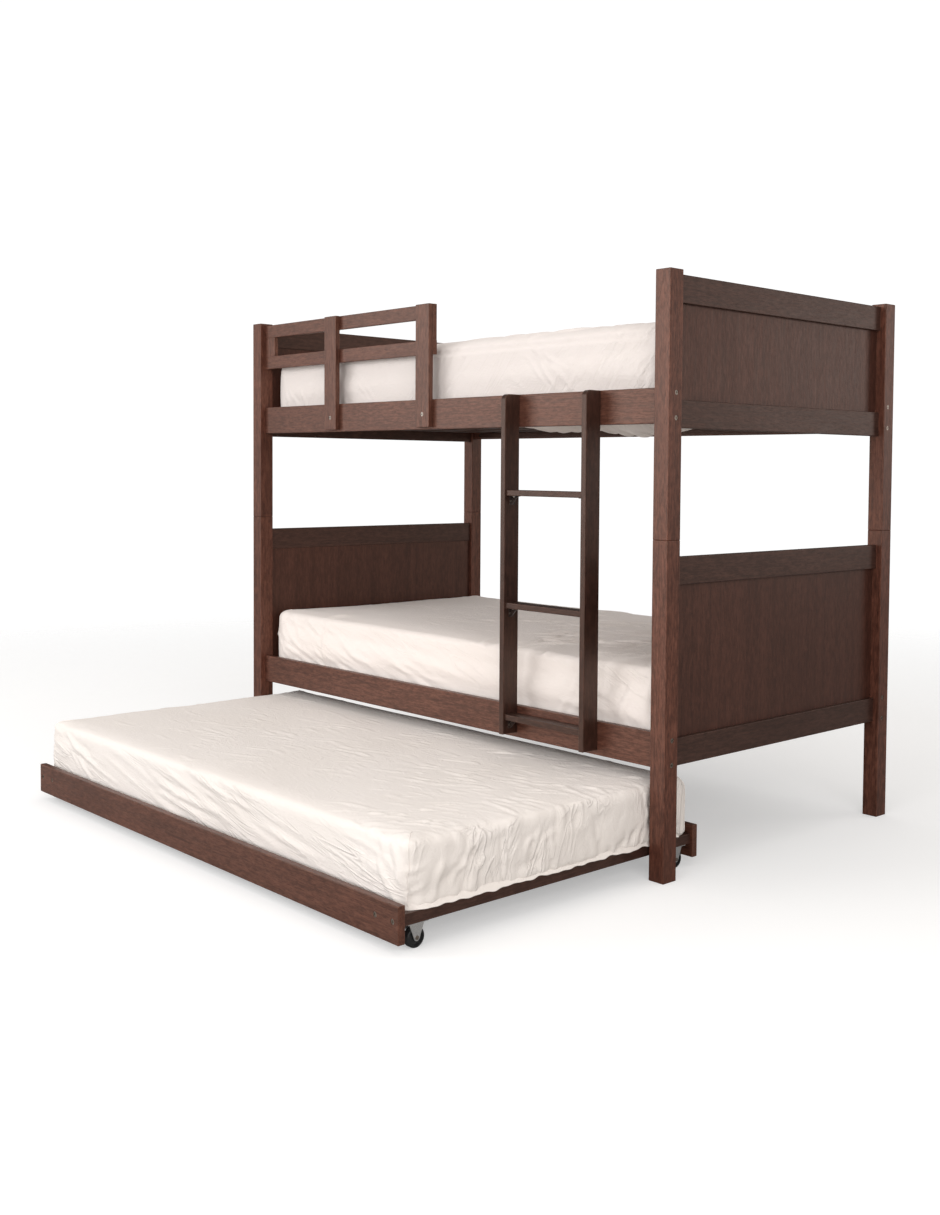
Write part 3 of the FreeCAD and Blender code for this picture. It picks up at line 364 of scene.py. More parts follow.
def brown_enamel():
    """Brown enamel on the tread brackets, faintly orange-peeled, worn on its edges and lighter there with a painted
    highlight.
    """
    finish, tree, shader = new_finish("brown_enamel")
    place = placed(tree)
    peel = noise(tree, place, 900.0, 2.0)
    arris_wear_and_lit = use(tree, ARRIS_WEAR_AND_HIGHLIGHT, Place=place, Reach=0.0012, Wander=60.0)
    thin = sums(tree, "MULTIPLY", arris_wear_and_lit["Mask"], 0.7)
    # The pale edge colour is partly wear and partly a painted highlight.
    tint = blend_colors(tree, thin, (0.026, 0.015, 0.012, 1), (0.16, 0.12, 0.10, 1))
    tree.links.new(tint, shader.inputs["Base Color"])
    tree.links.new(ramp(tree, peel, 0.3, 0.7, 0.30, 0.42), shader.inputs["Roughness"])
    shader.inputs["Coat Weight"].default_value = 0.3
    bump(tree, shader, peel, 0.0001, 0.5)
    return finish


def caster_nylon():
    """Black moulded nylon, dusty where it rolls."""
    finish, tree, shader = new_finish("black_nylon")
    place = placed(tree)
    dust = noise(tree, place, 130.0, 5.0, 0.65)
    dusted = ramp(tree, dust, 0.48, 0.72, 0.0, 0.5)
    tint = blend_colors(tree, dusted, (0.010, 0.010, 0.011, 1), (0.055, 0.052, 0.050, 1))
    tree.links.new(tint, shader.inputs["Base Color"])
    tree.links.new(ramp(tree, dust, 0.3, 0.7, 0.38, 0.62), shader.inputs["Roughness"])
    bump(tree, shader, noise(tree, place, 1400.0, 2.0), 0.00008, 0.5)
    return finish


# ---------------------------------------------------------------- finishes on the CAD pieces

def dress(name, finish):
    """Puts one finish on a CAD piece."""
    piece = nodes[name]
    for slot in piece.material_slots:
        slot.material = finish
    if not piece.material_slots:
        piece.data.materials.append(finish)


WOOD_RUNS = [
    # (words in the piece's name, grain direction, stain)
    ("_post_", "Z", "post"), ("guard_stiles", "Z", "board"), ("_upright", "Z", "board"), ("_stile", "Z", "ladder"),
    ("ladder_treads", "X", "ladder"), ("guard_", "X", "board"), ("side_rail", "X", "board"), ("_board", "X", "board"),
    ("_rail", "Y", "end"), ("_panel", "Z", "panel"), ("_member", "Y", "end"), ("cleats", "X", "slat"),
    ("slats", "Y", "slat"),
]
WOOD_SLOTS = ("stained_wood", "panel_veneer", "slat_wood")

slots = {row["node"]: row["material_slot"] for row in frame["record"]["subparts"]}
METAL = {"bright_steel": browned_steel(), "zinc_plate": zinc_sheet(), "brown_bracket": brown_enamel(),
         "caster_wheel": caster_nylon()}
for log, name in enumerate(sorted(nodes)):
    slot = slots[name]
    if slot in METAL:
        dress(name, METAL[slot])
    elif slot in WOOD_SLOTS:
        along, stain = next((a, s) for word, a, s in WOOD_RUNS if word in name)
        dress(name, stained_wood(name, along, stain, log + 1))


# ---------------------------------------------------------------- floor, light and camera

FLOOR_RADIUS = 16.0
FLOOR_FADE = (2.6, 6.5)     # the pale floor fades into the white sweep between these distances
FLOOR_TONE = (0.70, 0.70, 0.70, 1)
FLOOR_BOUNCE = (0.34, 0.33, 0.32, 1)     # what it throws back at the bed
FLOOR_GLOW = 0.36


def lay_floor():
    bpy.ops.object.select_all(action="DESELECT")
    bpy.ops.mesh.primitive_circle_add(vertices=96, radius=FLOOR_RADIUS, fill_type="NGON", location=(0, 0, 0))
    floor = bpy.context.object
    floor.name = "studio_floor"
    finish, tree, shader = new_finish("pale_floor")
    path = tree.nodes.new("ShaderNodeLightPath")
    pale = blend_colors(tree, path.outputs["Is Camera Ray"], FLOOR_BOUNCE, FLOOR_TONE)
    tree.links.new(pale, shader.inputs["Base Color"])
    shader.inputs["Emission Color"].default_value = (1, 1, 1, 1)
    glow = sums(tree, "MULTIPLY", path.outputs["Is Camera Ray"], FLOOR_GLOW)
    tree.links.new(glow, shader.inputs["Emission Strength"])
    shader.inputs["Roughness"].default_value = 0.9
    shader.inputs["Specular IOR Level"].default_value = 0.1
    away = add(tree, "VectorMath", placed(tree), operation="LENGTH").outputs["Value"]
    tree.links.new(ramp(tree, away, *FLOOR_FADE, 1.0, 0.0), shader.inputs["Alpha"])
    floor.data.materials.append(finish)


def hang_light(name, at, towards, size, power, tint):
    lamp = bpy.data.lights.new(name, "AREA")
    lamp.shape = "RECTANGLE"
    lamp.size, lamp.size_y = size
    lamp.energy = power
    lamp.color = tint
    holder = bpy.data.objects.new(name, lamp)
    scene.collection.objects.link(holder)
    holder.location = at
    holder.rotation_euler = (Vector(towards) - Vector(at)).to_track_quat("-Z", "Y").to_euler()


LIGHTS = [
    # name, where it hangs, what it looks at, width and height, watts, tint
    ("front_left_softbox", (-3.6, -4.9, 2.2), (0.0, 0.0, 0.8), (4.0, 3.4), 160, (0.98, 0.99, 1.0)),
    ("front_softbox", (1.8, -5.6, 2.0), (0.4, 0.0, 0.8), (3.8, 3.0), 96, (0.99, 0.99, 1.0)),
    ("overhead_softbox", (0.2, -0.4, 4.4), (0.0, 0.2, 0.0), (4.0, 3.0), 26, (1.0, 0.95, 0.90)),
    ("right_softbox", (5.2, -2.9, 2.2), (0.6, -0.2, 0.6), (3.0, 2.6), 118, (1.0, 0.98, 0.96)),
    ("right_rear_window", (4.9, 6.6, 2.0), (1.0, 0.6, 0.7), (2.2, 2.6), 46, (1.0, 0.96, 0.93)),
]
SWEEP_SEEN, SWEEP_LIGHT, SWEEP_MIRRORED = 1.05, 0.60, 0.16     # the white sweep's three strengths


def light_studio():
    """A white sweep all round the bed, dimmer in gloss, and the soft lights in front, above and at its right."""
    world = bpy.data.worlds.new("studio_sweep")
    scene.world = world
    world.use_nodes = True
    tree = world.node_tree
    seen = tree.nodes["Background"]
    seen.inputs["Color"].default_value = (1, 1, 1, 1)
    seen.inputs["Strength"].default_value = SWEEP_SEEN
    lit = tree.nodes.new("ShaderNodeBackground")
    lit.inputs["Color"].default_value = (1.0, 0.97, 0.94, 1)
    lit.inputs["Strength"].default_value = SWEEP_LIGHT
    mirrored = tree.nodes.new("ShaderNodeBackground")
    mirrored.inputs["Strength"].default_value = SWEEP_MIRRORED
    path = tree.nodes.new("ShaderNodeLightPath")
    around = add(tree, "MixShader", path.outputs["Is Glossy Ray"], lit.outputs[0], mirrored.outputs[0])
    choose = add(tree, "MixShader", path.outputs["Is Camera Ray"], around.outputs[0], seen.outputs[0])
    tree.links.new(choose.outputs[0], tree.nodes["World Output"].inputs[0])
    for light in LIGHTS:
        hang_light(*light)


def place_camera():
    camera = bpy.data.cameras.new("camera")
    camera.sensor_width = 36.0
    camera.lens = 39.2445
    camera.shift_x = -0.05521
    camera.shift_y = -0.06642
    camera.clip_start = 0.05
    holder = bpy.data.objects.new("camera", camera)
    scene.collection.objects.link(holder)
    holder.location = (3.290, -2.752, 1.0976)
    holder.rotation_euler = [math.radians(angle) for angle in (87.492, -0.473, 46.495)]
    scene.camera = holder


lay_floor()
light_studio()
place_camera()
scene.view_settings.view_transform = "Standard"


# ---------------------------------------------------------------- mattresses in fitted sheets

TINY = 1e-9
FULL_TURN = 6.28
SAME_LEVEL = 1e-5        # edges this close to a height are on it
VOXEL = 0.012            # even quads of the blank mattress
CORNER_ROUND = 0.030     # upright corners of a mattress in plan
CORNER_STEPS = 8
TOP_ROUND = 0.022
BOTTOM_ROUND = 0.008
EDGE_STEPS = 4
SWELL = 0.003            # the blank starts this much inside its CAD solid, because it swells
PUFF_FRAMES = 14
PUFF_LIMIT = 0.006       # furthest that a point may move as it swells

FRONT, RIGHT, LEFT, BACK, TOP = "front", "right", "left", "back", "top"
# For each face of a mattress: the axes that run along it and up it, the axis that it looks along, and which way.
FACES = {FRONT: (0, 2, 1, -1), BACK: (0, 2, 1, 1), RIGHT: (1, 2, 0, 1), LEFT: (1, 2, 0, -1), TOP: (0, 1, 2, 1)}


def only(piece):
    """Selects one piece and nothing else."""
    bpy.ops.object.select_all(action="DESELECT")
    piece.select_set(True)
    bpy.context.view_layer.objects.active = piece


def pick_edges(piece, wanted):
    """In edit mode, selects the edges whose two ends pass a test."""
    bpy.ops.object.mode_set(mode="EDIT")
    bpy.ops.mesh.select_mode(type="EDGE")
    bpy.ops.mesh.select_all(action="DESELECT")
    bpy.ops.object.mode_set(mode="OBJECT")
    points = piece.data.vertices
    for edge in piece.data.edges:
        edge.select = wanted(*[points[k].co for k in edge.vertices])
    bpy.ops.object.mode_set(mode="EDIT")


def mattress_blank(name, low, high, rim):
    """A closed block with round corners and edges, in even quads."""
    centre, size = (low + high) / 2, (high - low) - Vector((SWELL, SWELL, SWELL)) * 2
    bpy.ops.object.select_all(action="DESELECT")
    bpy.ops.mesh.primitive_cube_add(size=1, location=centre, scale=size)
    blank = bpy.context.object
    blank.name = name
    bpy.ops.object.transform_apply(location=True, rotation=True, scale=True)
    pick_edges(blank, lambda a, b: abs(a.z - b.z) > size.z / 2)
    bpy.ops.mesh.bevel(offset=CORNER_ROUND, segments=CORNER_STEPS)
    for level, radius in ((high.z - SWELL, rim), (low.z + SWELL, BOTTOM_ROUND)):
        pick_edges(blank, lambda a, b: abs(a.z - level) < SAME_LEVEL and abs(b.z - level) < SAME_LEVEL)
        bpy.ops.mesh.bevel(offset=radius, segments=EDGE_STEPS)
    bpy.ops.object.mode_set(mode="OBJECT")
    blank.data.remesh_voxel_size = VOXEL
    bpy.ops.object.voxel_remesh()
    return blank


def read_points(piece, what="co"):
    """The places of a piece's points, or their normals, as rows of three."""
    values = np.empty(len(piece.data.vertices) * 3)
    piece.data.vertices.foreach_get(what, values)
    return values.reshape(-1, 3)


def write_points(piece, points):
    piece.data.vertices.foreach_set("co", points.ravel())
    piece.data.update()


def puff(piece, pressure):
    """Swells the sheet over its filling by cloth simulation, with no point moving further than PUFF_LIMIT."""
    before = read_points(piece)
    cloth = piece.modifiers.new("puff", "CLOTH")
    cloth.settings.quality = 4
    cloth.settings.mass = 0.25
    cloth.settings.tension_stiffness = 18
    cloth.settings.compression_stiffness = 12
    cloth.settings.bending_stiffness = 0.4
    cloth.settings.use_pressure = True
    cloth.settings.uniform_pressure_force = pressure
    cloth.settings.effector_weights.gravity = 0
    cloth.collision_settings.use_collision = False
    cloth.point_cache.frame_end = PUFF_FRAMES
    for step in range(1, PUFF_FRAMES + 1):
        scene.frame_set(step)
    only(piece)
    bpy.ops.object.modifier_apply(modifier="puff")
    scene.frame_set(1)
    moved = read_points(piece) - before
    length = np.linalg.norm(moved, axis=1, keepdims=True)
    write_points(piece, before + moved * np.minimum(1.0, PUFF_LIMIT / np.maximum(length, TINY)))


def round_off(piece):
    """One applied step of subdivision."""
    rounder = piece.modifiers.new("rounder", "SUBSURF")
    rounder.levels = rounder.render_levels = 1
    only(piece)
    bpy.ops.object.modifier_apply(modifier="rounder")


def smooth_step(value, low, high):
    share = np.clip((value - low) / (high - low), 0, 1)
    return share * share * (3 - 2 * share)


# A crease has a valley on each side of its ridge: how far off in widths, and how deep as shares of the ridge.
VALLEY_OFF, DEEP_VALLEY, SHALLOW_VALLEY = 1.9, 0.45, 0.25


class Surface:
    """The points of a mattress and how far each one is to be moved along its normal."""

    def __init__(self, piece):
        self.piece = piece
        self.points = read_points(piece)
        self.normals = read_points(piece, "normal")
        self.lift = np.zeros(len(self.points))
        self.mask = np.ones(len(self.points))     # how much each point takes of a crease
        self.low, self.high = self.points.min(0), self.points.max(0)

    def facing(self, face, soft=0.25):
        """1 where the surface looks the way of this face, fading out round its edges."""
        _, _, axis, sign = FACES[face]
        return smooth_step(self.normals[:, axis] * sign, soft, 0.75)

    def crease(self, face, start, end, width, height, bow=0.0):
        """One fold: a ridge with a shallow valley on each side, from start to end over the face."""
        along, up, _, _ = FACES[face]
        spot = self.points[:, (along, up)]
        first, last = np.array(start), np.array(end)
        run = last - first
        length = np.linalg.norm(run)
        run = run / length
        reach = 4 * width + abs(bow)
        near = ((spot[:, 0] > min(first[0], last[0]) - reach) & (spot[:, 0] < max(first[0], last[0]) + reach)
                & (spot[:, 1] > min(first[1], last[1]) - reach) & (spot[:, 1] < max(first[1], last[1]) + reach))
        chosen = np.nonzero(near & (self.mask > 0))[0]
        if not len(chosen):
            return
        away = spot[chosen] - first
        share = away @ run / length
        side = away @ np.array((-run[1], run[0])) - bow * 4 * share * (1 - share)
        taper = np.clip(share, 0, 1) * (1 - np.clip(share, 0, 1)) * 4
        wide = width * (0.55 + 0.45 * taper)
        ridge = np.exp(-(side / wide) ** 2) - DEEP_VALLEY * np.exp(-((side - VALLEY_OFF * wide) / wide) ** 2)
        ridge -= SHALLOW_VALLEY * np.exp(-((side + VALLEY_OFF * wide) / wide) ** 2)
        self.lift[chosen] += height * ridge * taper ** 0.7 * (share > 0) * (share < 1) * self.mask[chosen]

    def fan(self, rng, face, centre, spread, count, angle, turn, length, width, height, bow=0.0):
        """A cluster of creases round a place on a face; angles are in degrees from the direction along it."""
        self.mask = self.facing(face)
        for _ in range(count):
            middle = [centre[k] + rng.gauss(0, spread[k]) for k in (0, 1)]
            slope = math.radians(angle + rng.uniform(-turn, turn))
            half = length * rng.uniform(0.45, 1.25) / 2
            step = (math.cos(slope) * half, math.sin(slope) * half)
            start, end = (middle[0] - step[0], middle[1] - step[1]), (middle[0] + step[0], middle[1] + step[1])
            self.crease(face, start, end, width * rng.uniform(0.7, 1.35), height * rng.uniform(0.45, 1.2),
                        rng.uniform(-bow, bow))

    def fans(self, rng, face, rows):
        """Several clusters on one face, each a row of what fan takes."""
        for row in rows:
            self.fan(rng, face, *row)

    def gather(self, face, depth, pleat, reach, seed):
        """Pleats that the elastic hem pulls into the lower part of a side; they fade out upwards over reach."""
        along, up, _, _ = FACES[face]
        spot = self.points[:, along]
        fade = 1 - smooth_step(self.points[:, up], self.low[up], self.low[up] + reach)
        rng = random.Random(seed)
        waves = np.zeros(len(spot))
        for _ in range(5):
            pitch = pleat * rng.uniform(0.6, 1.7)
            start = rng.uniform(0, FULL_TURN)
            waves += np.sin(2 * math.pi * spot / pitch + start + 2.2 * np.sin(spot * rng.uniform(6, 14))) / 3
        self.lift += depth * waves * fade * self.facing(face)

    def crumple(self, face, centre, reach, size, height, seed):
        """Flat facets between sharp folds, as slack cloth falls, strongest at a place on a face."""
        along, up, _, _ = FACES[face]
        rng = random.Random(seed)
        spot = self.points[:, (along, up)]
        shift = np.stack([np.sin(spot @ (31, 17) + 1.3), np.sin(spot @ (-19, 37) + 4.1)], 1) * size * 0.35
        spot = spot + shift
        total = np.zeros(len(spot))
        for turn in range(6):
            angle = math.radians(rng.uniform(40, 140) if turn < 4 else rng.uniform(-30, 30))
            pitch = size * rng.uniform(0.7, 1.9)
            phase = (spot @ (math.cos(angle + math.pi / 2), math.sin(angle + math.pi / 2))) / pitch + rng.random()
            total += np.abs(phase - np.floor(phase) - 0.5) * pitch / size - 0.25
        away = ((self.points[:, along] - centre[0]) / reach[0]) ** 2
        away += ((self.points[:, up] - centre[1]) / reach[1]) ** 2
        self.lift += height * total * np.exp(-away) * self.facing(face)

    def ease_corner(self, side_x, side_y, low_radius):
        """Rounds an upright corner more towards its foot, where the sheet is drawn under the mattress."""
        x, y, z = self.points.T
        level = 1 - smooth_step(z, self.low[2] + 0.02, self.high[2] - 0.02)
        radius = CORNER_ROUND + (low_radius - CORNER_ROUND) * level
        in_x = radius - (self.high[0] - x if side_x > 0 else x - self.low[0])
        in_y = radius - (self.high[1] - y if side_y > 0 else y - self.low[1])
        reach = np.hypot(in_x, in_y)
        outside = (in_x > 0) & (in_y > 0) & (reach > radius)
        pull = np.where(outside, (reach - radius) / np.maximum(reach, TINY), 0)
        self.points[:, 0] -= side_x * in_x * pull
        self.points[:, 1] -= side_y * in_y * pull

    def crown(self, height, reach):
        """Lifts the middle of the top above its edges, where the filling stands highest."""
        plan, low, high = self.points[:, :2], self.low[:2], self.high[:2]
        inside = np.minimum(plan - low, high - plan).min(1)
        rise = 1 - np.exp(-np.maximum(inside, 0) / reach)
        self.points[:, 2] += height * rise * smooth_step(self.normals[:, 2], 0.3, 0.8)

    def bulge(self, face, depth):
        """Swells a side half way up it."""
        along, up, axis, sign = FACES[face]
        share = 2 * (self.points[:, up] - self.low[up]) / (self.high[up] - self.low[up]) - 1
        ends = 2 * (self.points[:, along] - self.low[along]) / (self.high[along] - self.low[along]) - 1
        self.points[:, axis] += sign * depth * (1 - share ** 2) * (1 - 0.5 * ends ** 6) * self.facing(face)

    def soften(self, seed, scale, height):
        """Slow unevenness of the filling."""
        rng = random.Random(seed)
        total = np.zeros(len(self.points))
        for _ in range(7):
            direction = np.array([rng.gauss(0, 1) for _ in range(3)])
            direction *= 2 * math.pi / (scale * rng.uniform(0.6, 1.8) * np.linalg.norm(direction))
            total += np.sin(self.points @ direction + rng.uniform(0, FULL_TURN)) / 3
        self.lift += height * total

    def apply(self, proud=0.009, sunk=0.008):
        """Moves the points by what was added up, held within limits."""
        lift = np.where(self.lift > 0, proud * np.tanh(self.lift / proud), sunk * np.tanh(self.lift / sunk))
        write_points(self.piece, self.points + self.normals * lift[:, None])


def sheeted_mattress(name, body, tone, shade, fall, slack, rim=TOP_ROUND, pressure=3.0):
    """A mattress in its fitted sheet, in the place of its CAD solid, before its creases."""
    low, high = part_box(name)
    piece = mattress_blank(name + "_in_sheet", low, high, rim)
    puff(piece, pressure)
    round_off(piece)
    bpy.ops.object.shade_smooth()
    piece.data.materials.clear()
    piece.data.materials.append(sheet_cotton(name, tone, shade, fall, slack))
    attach(piece, body)
    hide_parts(name)
    return piece


# One cream cotton for all three sheets; the lower and upper mattresses take darker copies of it, painted shade for
# how light falls on them.
CREAM = (0.84, 0.785, 0.745, 1)
CREAM_SHADE = (0.79, 0.73, 0.68, 1)
LOWER_CREAM_DIMMED = (0.83, 0.76, 0.72, 1)
LOWER_SHADE_DIMMED = (0.78, 0.71, 0.66, 1)
UPPER_CREAM_DIMMED = (0.74, 0.68, 0.65, 1)
UPPER_SHADE_DIMMED = (0.70, 0.64, 0.605, 1)


# In the rows below, a cluster of creases is: centre, spread, count, angle, turn, length, width, height, bow.
# A centre is given along the face and up it, and angles are in degrees.

def crease_ends_and_back(skin, rng, depth, pleat, seeds):
    """The ends and the back of a bed's mattress, and the pleats of its hem all round."""
    low, high = skin.low, skin.high
    middle_z = (low[2] + high[2]) / 2
    for face in (LEFT, RIGHT):
        skin.fan(rng, face, (low[1] + 0.5, middle_z), (0.3, 0.05), 36, 66, 40, 0.14, 0.009, 0.0036, 0.018)
    skin.fan(rng, BACK, (0.0, middle_z), (0.6, 0.05), 44, 14, 22, 0.28, 0.009, 0.0030, 0.018)
    for face, seed in zip((FRONT, RIGHT, LEFT, BACK), seeds):
        skin.gather(face, depth, pleat, 0.060, seed)


def crease_trundle(piece):
    """The loosest sheet: crinkled all over its top, slack on its foot end and gathered by its hem."""
    skin, rng = Surface(piece), random.Random(11)
    low, high = skin.low, skin.high
    middle_z, right, front = (low[2] + high[2]) / 2, high[0], low[1]
    skin.ease_corner(1, -1, 0.075)
    skin.soften(3, 0.35, 0.0010)
    # long shallow creases that run down towards the foot along the front
    skin.fans(rng, FRONT, [
        ((0.0, middle_z + 0.01), (0.62, 0.035), 26, -10, 6, 0.34, 0.0085, 0.0036, 0.012),
        ((low[0] + 0.12, middle_z), (0.10, 0.03), 12, -28, 12, 0.16, 0.0075, 0.0046, 0.01),
        ((right - 0.06, middle_z), (0.05, 0.04), 10, -62, 18, 0.12, 0.0080, 0.0040, 0.01),
    ])
    # the slack foot end: tumbled upright folds, more of them towards the back
    skin.crumple(RIGHT, (front + 0.72, middle_z), (0.42, 0.20), 0.110, 0.0095, 2)
    skin.crumple(RIGHT, (front + 0.28, middle_z - 0.02), (0.36, 0.12), 0.140, 0.0080, 9)
    skin.fans(rng, RIGHT, [
        ((front + 0.70, middle_z), (0.24, 0.04), 26, 76, 30, 0.12, 0.0080, 0.0064, 0.018),
        ((front + 0.30, middle_z), (0.22, 0.04), 16, 52, 40, 0.11, 0.0080, 0.0050, 0.018),
    ])
    skin.gather(RIGHT, 0.0040, 0.060, 0.075, 5)
    skin.crumple(LEFT, (front + 0.5, middle_z), (0.6, 0.20), 0.060, 0.0070, 4)
    skin.gather(LEFT, 0.0045, 0.060, 0.080, 6)
    skin.gather(BACK, 0.0030, 0.080, 0.070, 7)
    skin.fan(rng, BACK, (0.0, middle_z), (0.6, 0.04), 40, 12, 20, 0.26, 0.008, 0.0032, 0.018)
    # fine crinkles over the top, closer towards the foot
    skin.fans(rng, TOP, [
        ((0.0, front + 0.5), (0.62, 0.30), 200, 12, 22, 0.14, 0.0070, 0.0012, 0.012),
        ((right - 0.30, front + 0.62), (0.22, 0.26), 120, 20, 26, 0.12, 0.0070, 0.0018, 0.014),
        ((right - 0.10, front + 0.45), (0.06, 0.34), 40, 6, 20, 0.12, 0.0070, 0.0020, 0.010),
        ((right - 0.16, front + 0.14), (0.10, 0.07), 40, 52, 20, 0.09, 0.0050, 0.0026, 0.010),
    ])
    skin.apply(0.007, 0.014)


def crease_lower(piece):
    """Drawn tight along the front, with a tumbled patch by the ladder and one pulled fold near the head."""
    skin, rng = Surface(piece), random.Random(23)
    low, high = skin.low, skin.high
    middle_z, right, front, left = (low[2] + high[2]) / 2, high[0], low[1], low[0]
    skin.points[:, 0] -= 0.009 * skin.facing(LEFT)
    skin.bulge(LEFT, 0.011)
    skin.soften(4, 0.45, 0.0016)
    skin.fans(rng, FRONT, [
        ((left + 0.42, middle_z - 0.01), (0.20, 0.045), 24, -20, 8, 0.30, 0.009, 0.0030, 0.014),
        ((left + 0.16, middle_z - 0.03), (0.07, 0.04), 14, -38, 14, 0.16, 0.008, 0.0032, 0.010),
        ((left + 0.95, middle_z), (0.40, 0.05), 20, -13, 10, 0.30, 0.010, 0.0022, 0.014),
        ((right - 0.20, middle_z), (0.12, 0.05), 14, 68, 24, 0.14, 0.010, 0.0018, 0.010),
        ((left + 0.315, high[2] - 0.085), (0.004, 0.008), 3, 88, 4, 0.15, 0.007, 0.0042, 0.004),
    ])
    skin.fans(rng, TOP, [
        ((left + 0.335, front + 0.07), (0.010, 0.012), 4, 66, 10, 0.13, 0.008, 0.0048, 0.012),
        ((right - 0.62, front + 0.26), (0.11, 0.12), 22, 60, 38, 0.19, 0.0120, 0.0056, 0.050),
        ((right - 0.80, front + 0.52), (0.14, 0.14), 18, 40, 34, 0.18, 0.0115, 0.0050, 0.045),
        ((right - 0.22, front + 0.35), (0.12, 0.20), 24, 48, 26, 0.22, 0.0120, 0.0046, 0.034),
        ((0.0, front + 0.5), (0.60, 0.30), 120, 24, 40, 0.13, 0.0080, 0.0016, 0.014),
    ])
    crease_ends_and_back(skin, rng, 0.0022, 0.085, (8, 9, 10, 12))
    skin.apply()


def crease_upper(piece):
    """Fans of fine tension creases that rise from the hem along the front, and a quiet top."""
    skin, rng = Surface(piece), random.Random(37)
    low, high = skin.low, skin.high
    middle_z, right, front, left = (low[2] + high[2]) / 2, high[0], low[1], low[0]
    skin.points[:, 2] += 0.005 * smooth_step(skin.points[:, 2], middle_z, high[2])
    skin.crown(0.024, 0.12)
    skin.bulge(LEFT, 0.015)
    skin.soften(5, 0.45, 0.0018)
    # the line of the upper seam, where the side of the mattress meets its quilted top
    skin.mask = skin.facing(FRONT, 0.10)
    seam = high[2] - 0.026
    for start in (left - 0.30, left + 0.55, right - 0.75):
        skin.crease(FRONT, (start, seam), (start + 1.05, seam - 0.002), 0.0065, -0.0036)
    skin.fans(rng, FRONT, [
        ((left + 0.12, middle_z - 0.05), (0.05, 0.03), 7, -60, 14, 0.12, 0.0080, 0.0026, 0.008),
        ((left + 0.55, middle_z - 0.03), (0.10, 0.04), 6, -40, 12, 0.17, 0.0080, 0.0018, 0.010),
        ((left + 1.02, middle_z - 0.04), (0.07, 0.04), 5, 46, 14, 0.14, 0.0080, 0.0016, 0.010),
        ((left + 1.33, middle_z + 0.02), (0.09, 0.05), 8, -38, 14, 0.18, 0.0080, 0.0018, 0.010),
        ((right - 0.26, middle_z - 0.03), (0.10, 0.04), 16, 56, 12, 0.15, 0.0075, 0.0028, 0.010),
        ((right - 0.07, middle_z), (0.03, 0.05), 6, 70, 10, 0.15, 0.0080, 0.0024, 0.008),
    ])
    skin.fans(rng, TOP, [
        ((right - 0.40, front + 0.12), (0.18, 0.07), 40, 30, 26, 0.16, 0.0090, 0.0036, 0.018),
        ((0.0, front + 0.5), (0.60, 0.30), 120, 28, 40, 0.13, 0.0080, 0.0018, 0.014),
    ])
    crease_ends_and_back(skin, rng, 0.0024, 0.080, (13, 14, 15, 16))
    skin.apply()


trundle_mattress = sheeted_mattress("trundle_mattress", "trundle", CREAM, CREAM_SHADE, 11, 0.9)
crease_trundle(trundle_mattress)
lower_mattress = sheeted_mattress("lower_mattress", "bunk_frame", LOWER_CREAM_DIMMED, LOWER_SHADE_DIMMED, 20, 0.35)
crease_lower(lower_mattress)
upper_mattress = sheeted_mattress("upper_mattress", "bunk_frame", UPPER_CREAM_DIMMED, UPPER_SHADE_DIMMED, -48, 0.55, 0.040)
crease_upper(upper_mattress)


# ---------------------------------------------------------------- hems, seams and the slack under the upper bed

def plan_point(low, high, corner, run):
    """A point and outward direction on the round-cornered plan of a mattress; run goes round from 0 to 1."""
    width, depth = high.x - low.x - 2 * corner, high.y - low.y - 2 * corner
    arc = corner * math.pi / 2
    left = run % 1.0 * (2 * (width + depth) + 4 * arc)
    sides = [(low.x + corner, low.y, 0, width), (high.x, low.y + corner, 90, depth),
             (high.x - corner, high.y, 180, width), (low.x, high.y - corner, 270, depth)]
    for x, y, heading, length in sides:
        ahead = math.radians(heading)
        along, outward = Vector((math.cos(ahead), math.sin(ahead))), Vector((math.sin(ahead), -math.cos(ahead)))
        if left <= length:
            return Vector((x, y)) + along * left, outward
        left -= length
        if left <= arc:
            swing = left / corner
            centre = Vector((x, y)) + along * length - outward * corner
            turned = outward * math.cos(swing) + along * math.sin(swing)
            return centre + turned * corner, turned
        left -= arc
    return Vector((low.x + corner, low.y)), Vector((0, -1))


HEM_CORNER = 0.068       # the hem rounds a corner wider than the mattress does
HEM_COLUMNS = 1500       # for a whole way round
HEM_ROWS = 4
HEM_RISE = 0.018         # it starts this far up, inside the sheet
HEM_THICK, SLACK_THICK = 0.0016, 0.0008
FRILL_OUT, FRILL_DOWN = 0.0040, 0.0045


def flat_cloth(name, columns, rows):
    """A flat grid of unit size, to be laid out as cloth."""
    bpy.ops.object.select_all(action="DESELECT")
    bpy.ops.mesh.primitive_grid_add(x_subdivisions=columns, y_subdivisions=rows, size=1)
    cloth = bpy.context.object
    cloth.name = name
    return cloth


def thicken(cloth, thickness):
    """Gives a flat cloth its thickness, half to each side."""
    wall = cloth.modifiers.new("cloth", "SOLIDIFY")
    wall.thickness, wall.offset = thickness, 0.0
    only(cloth)
    bpy.ops.object.modifier_apply(modifier="cloth")


def sew_on(piece, body):
    """Finishes a small piece of sheet and sets the body that it rides on."""
    only(piece)
    bpy.ops.object.shade_smooth()
    piece.data.materials.append(HEM_COTTON)
    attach(piece, body)


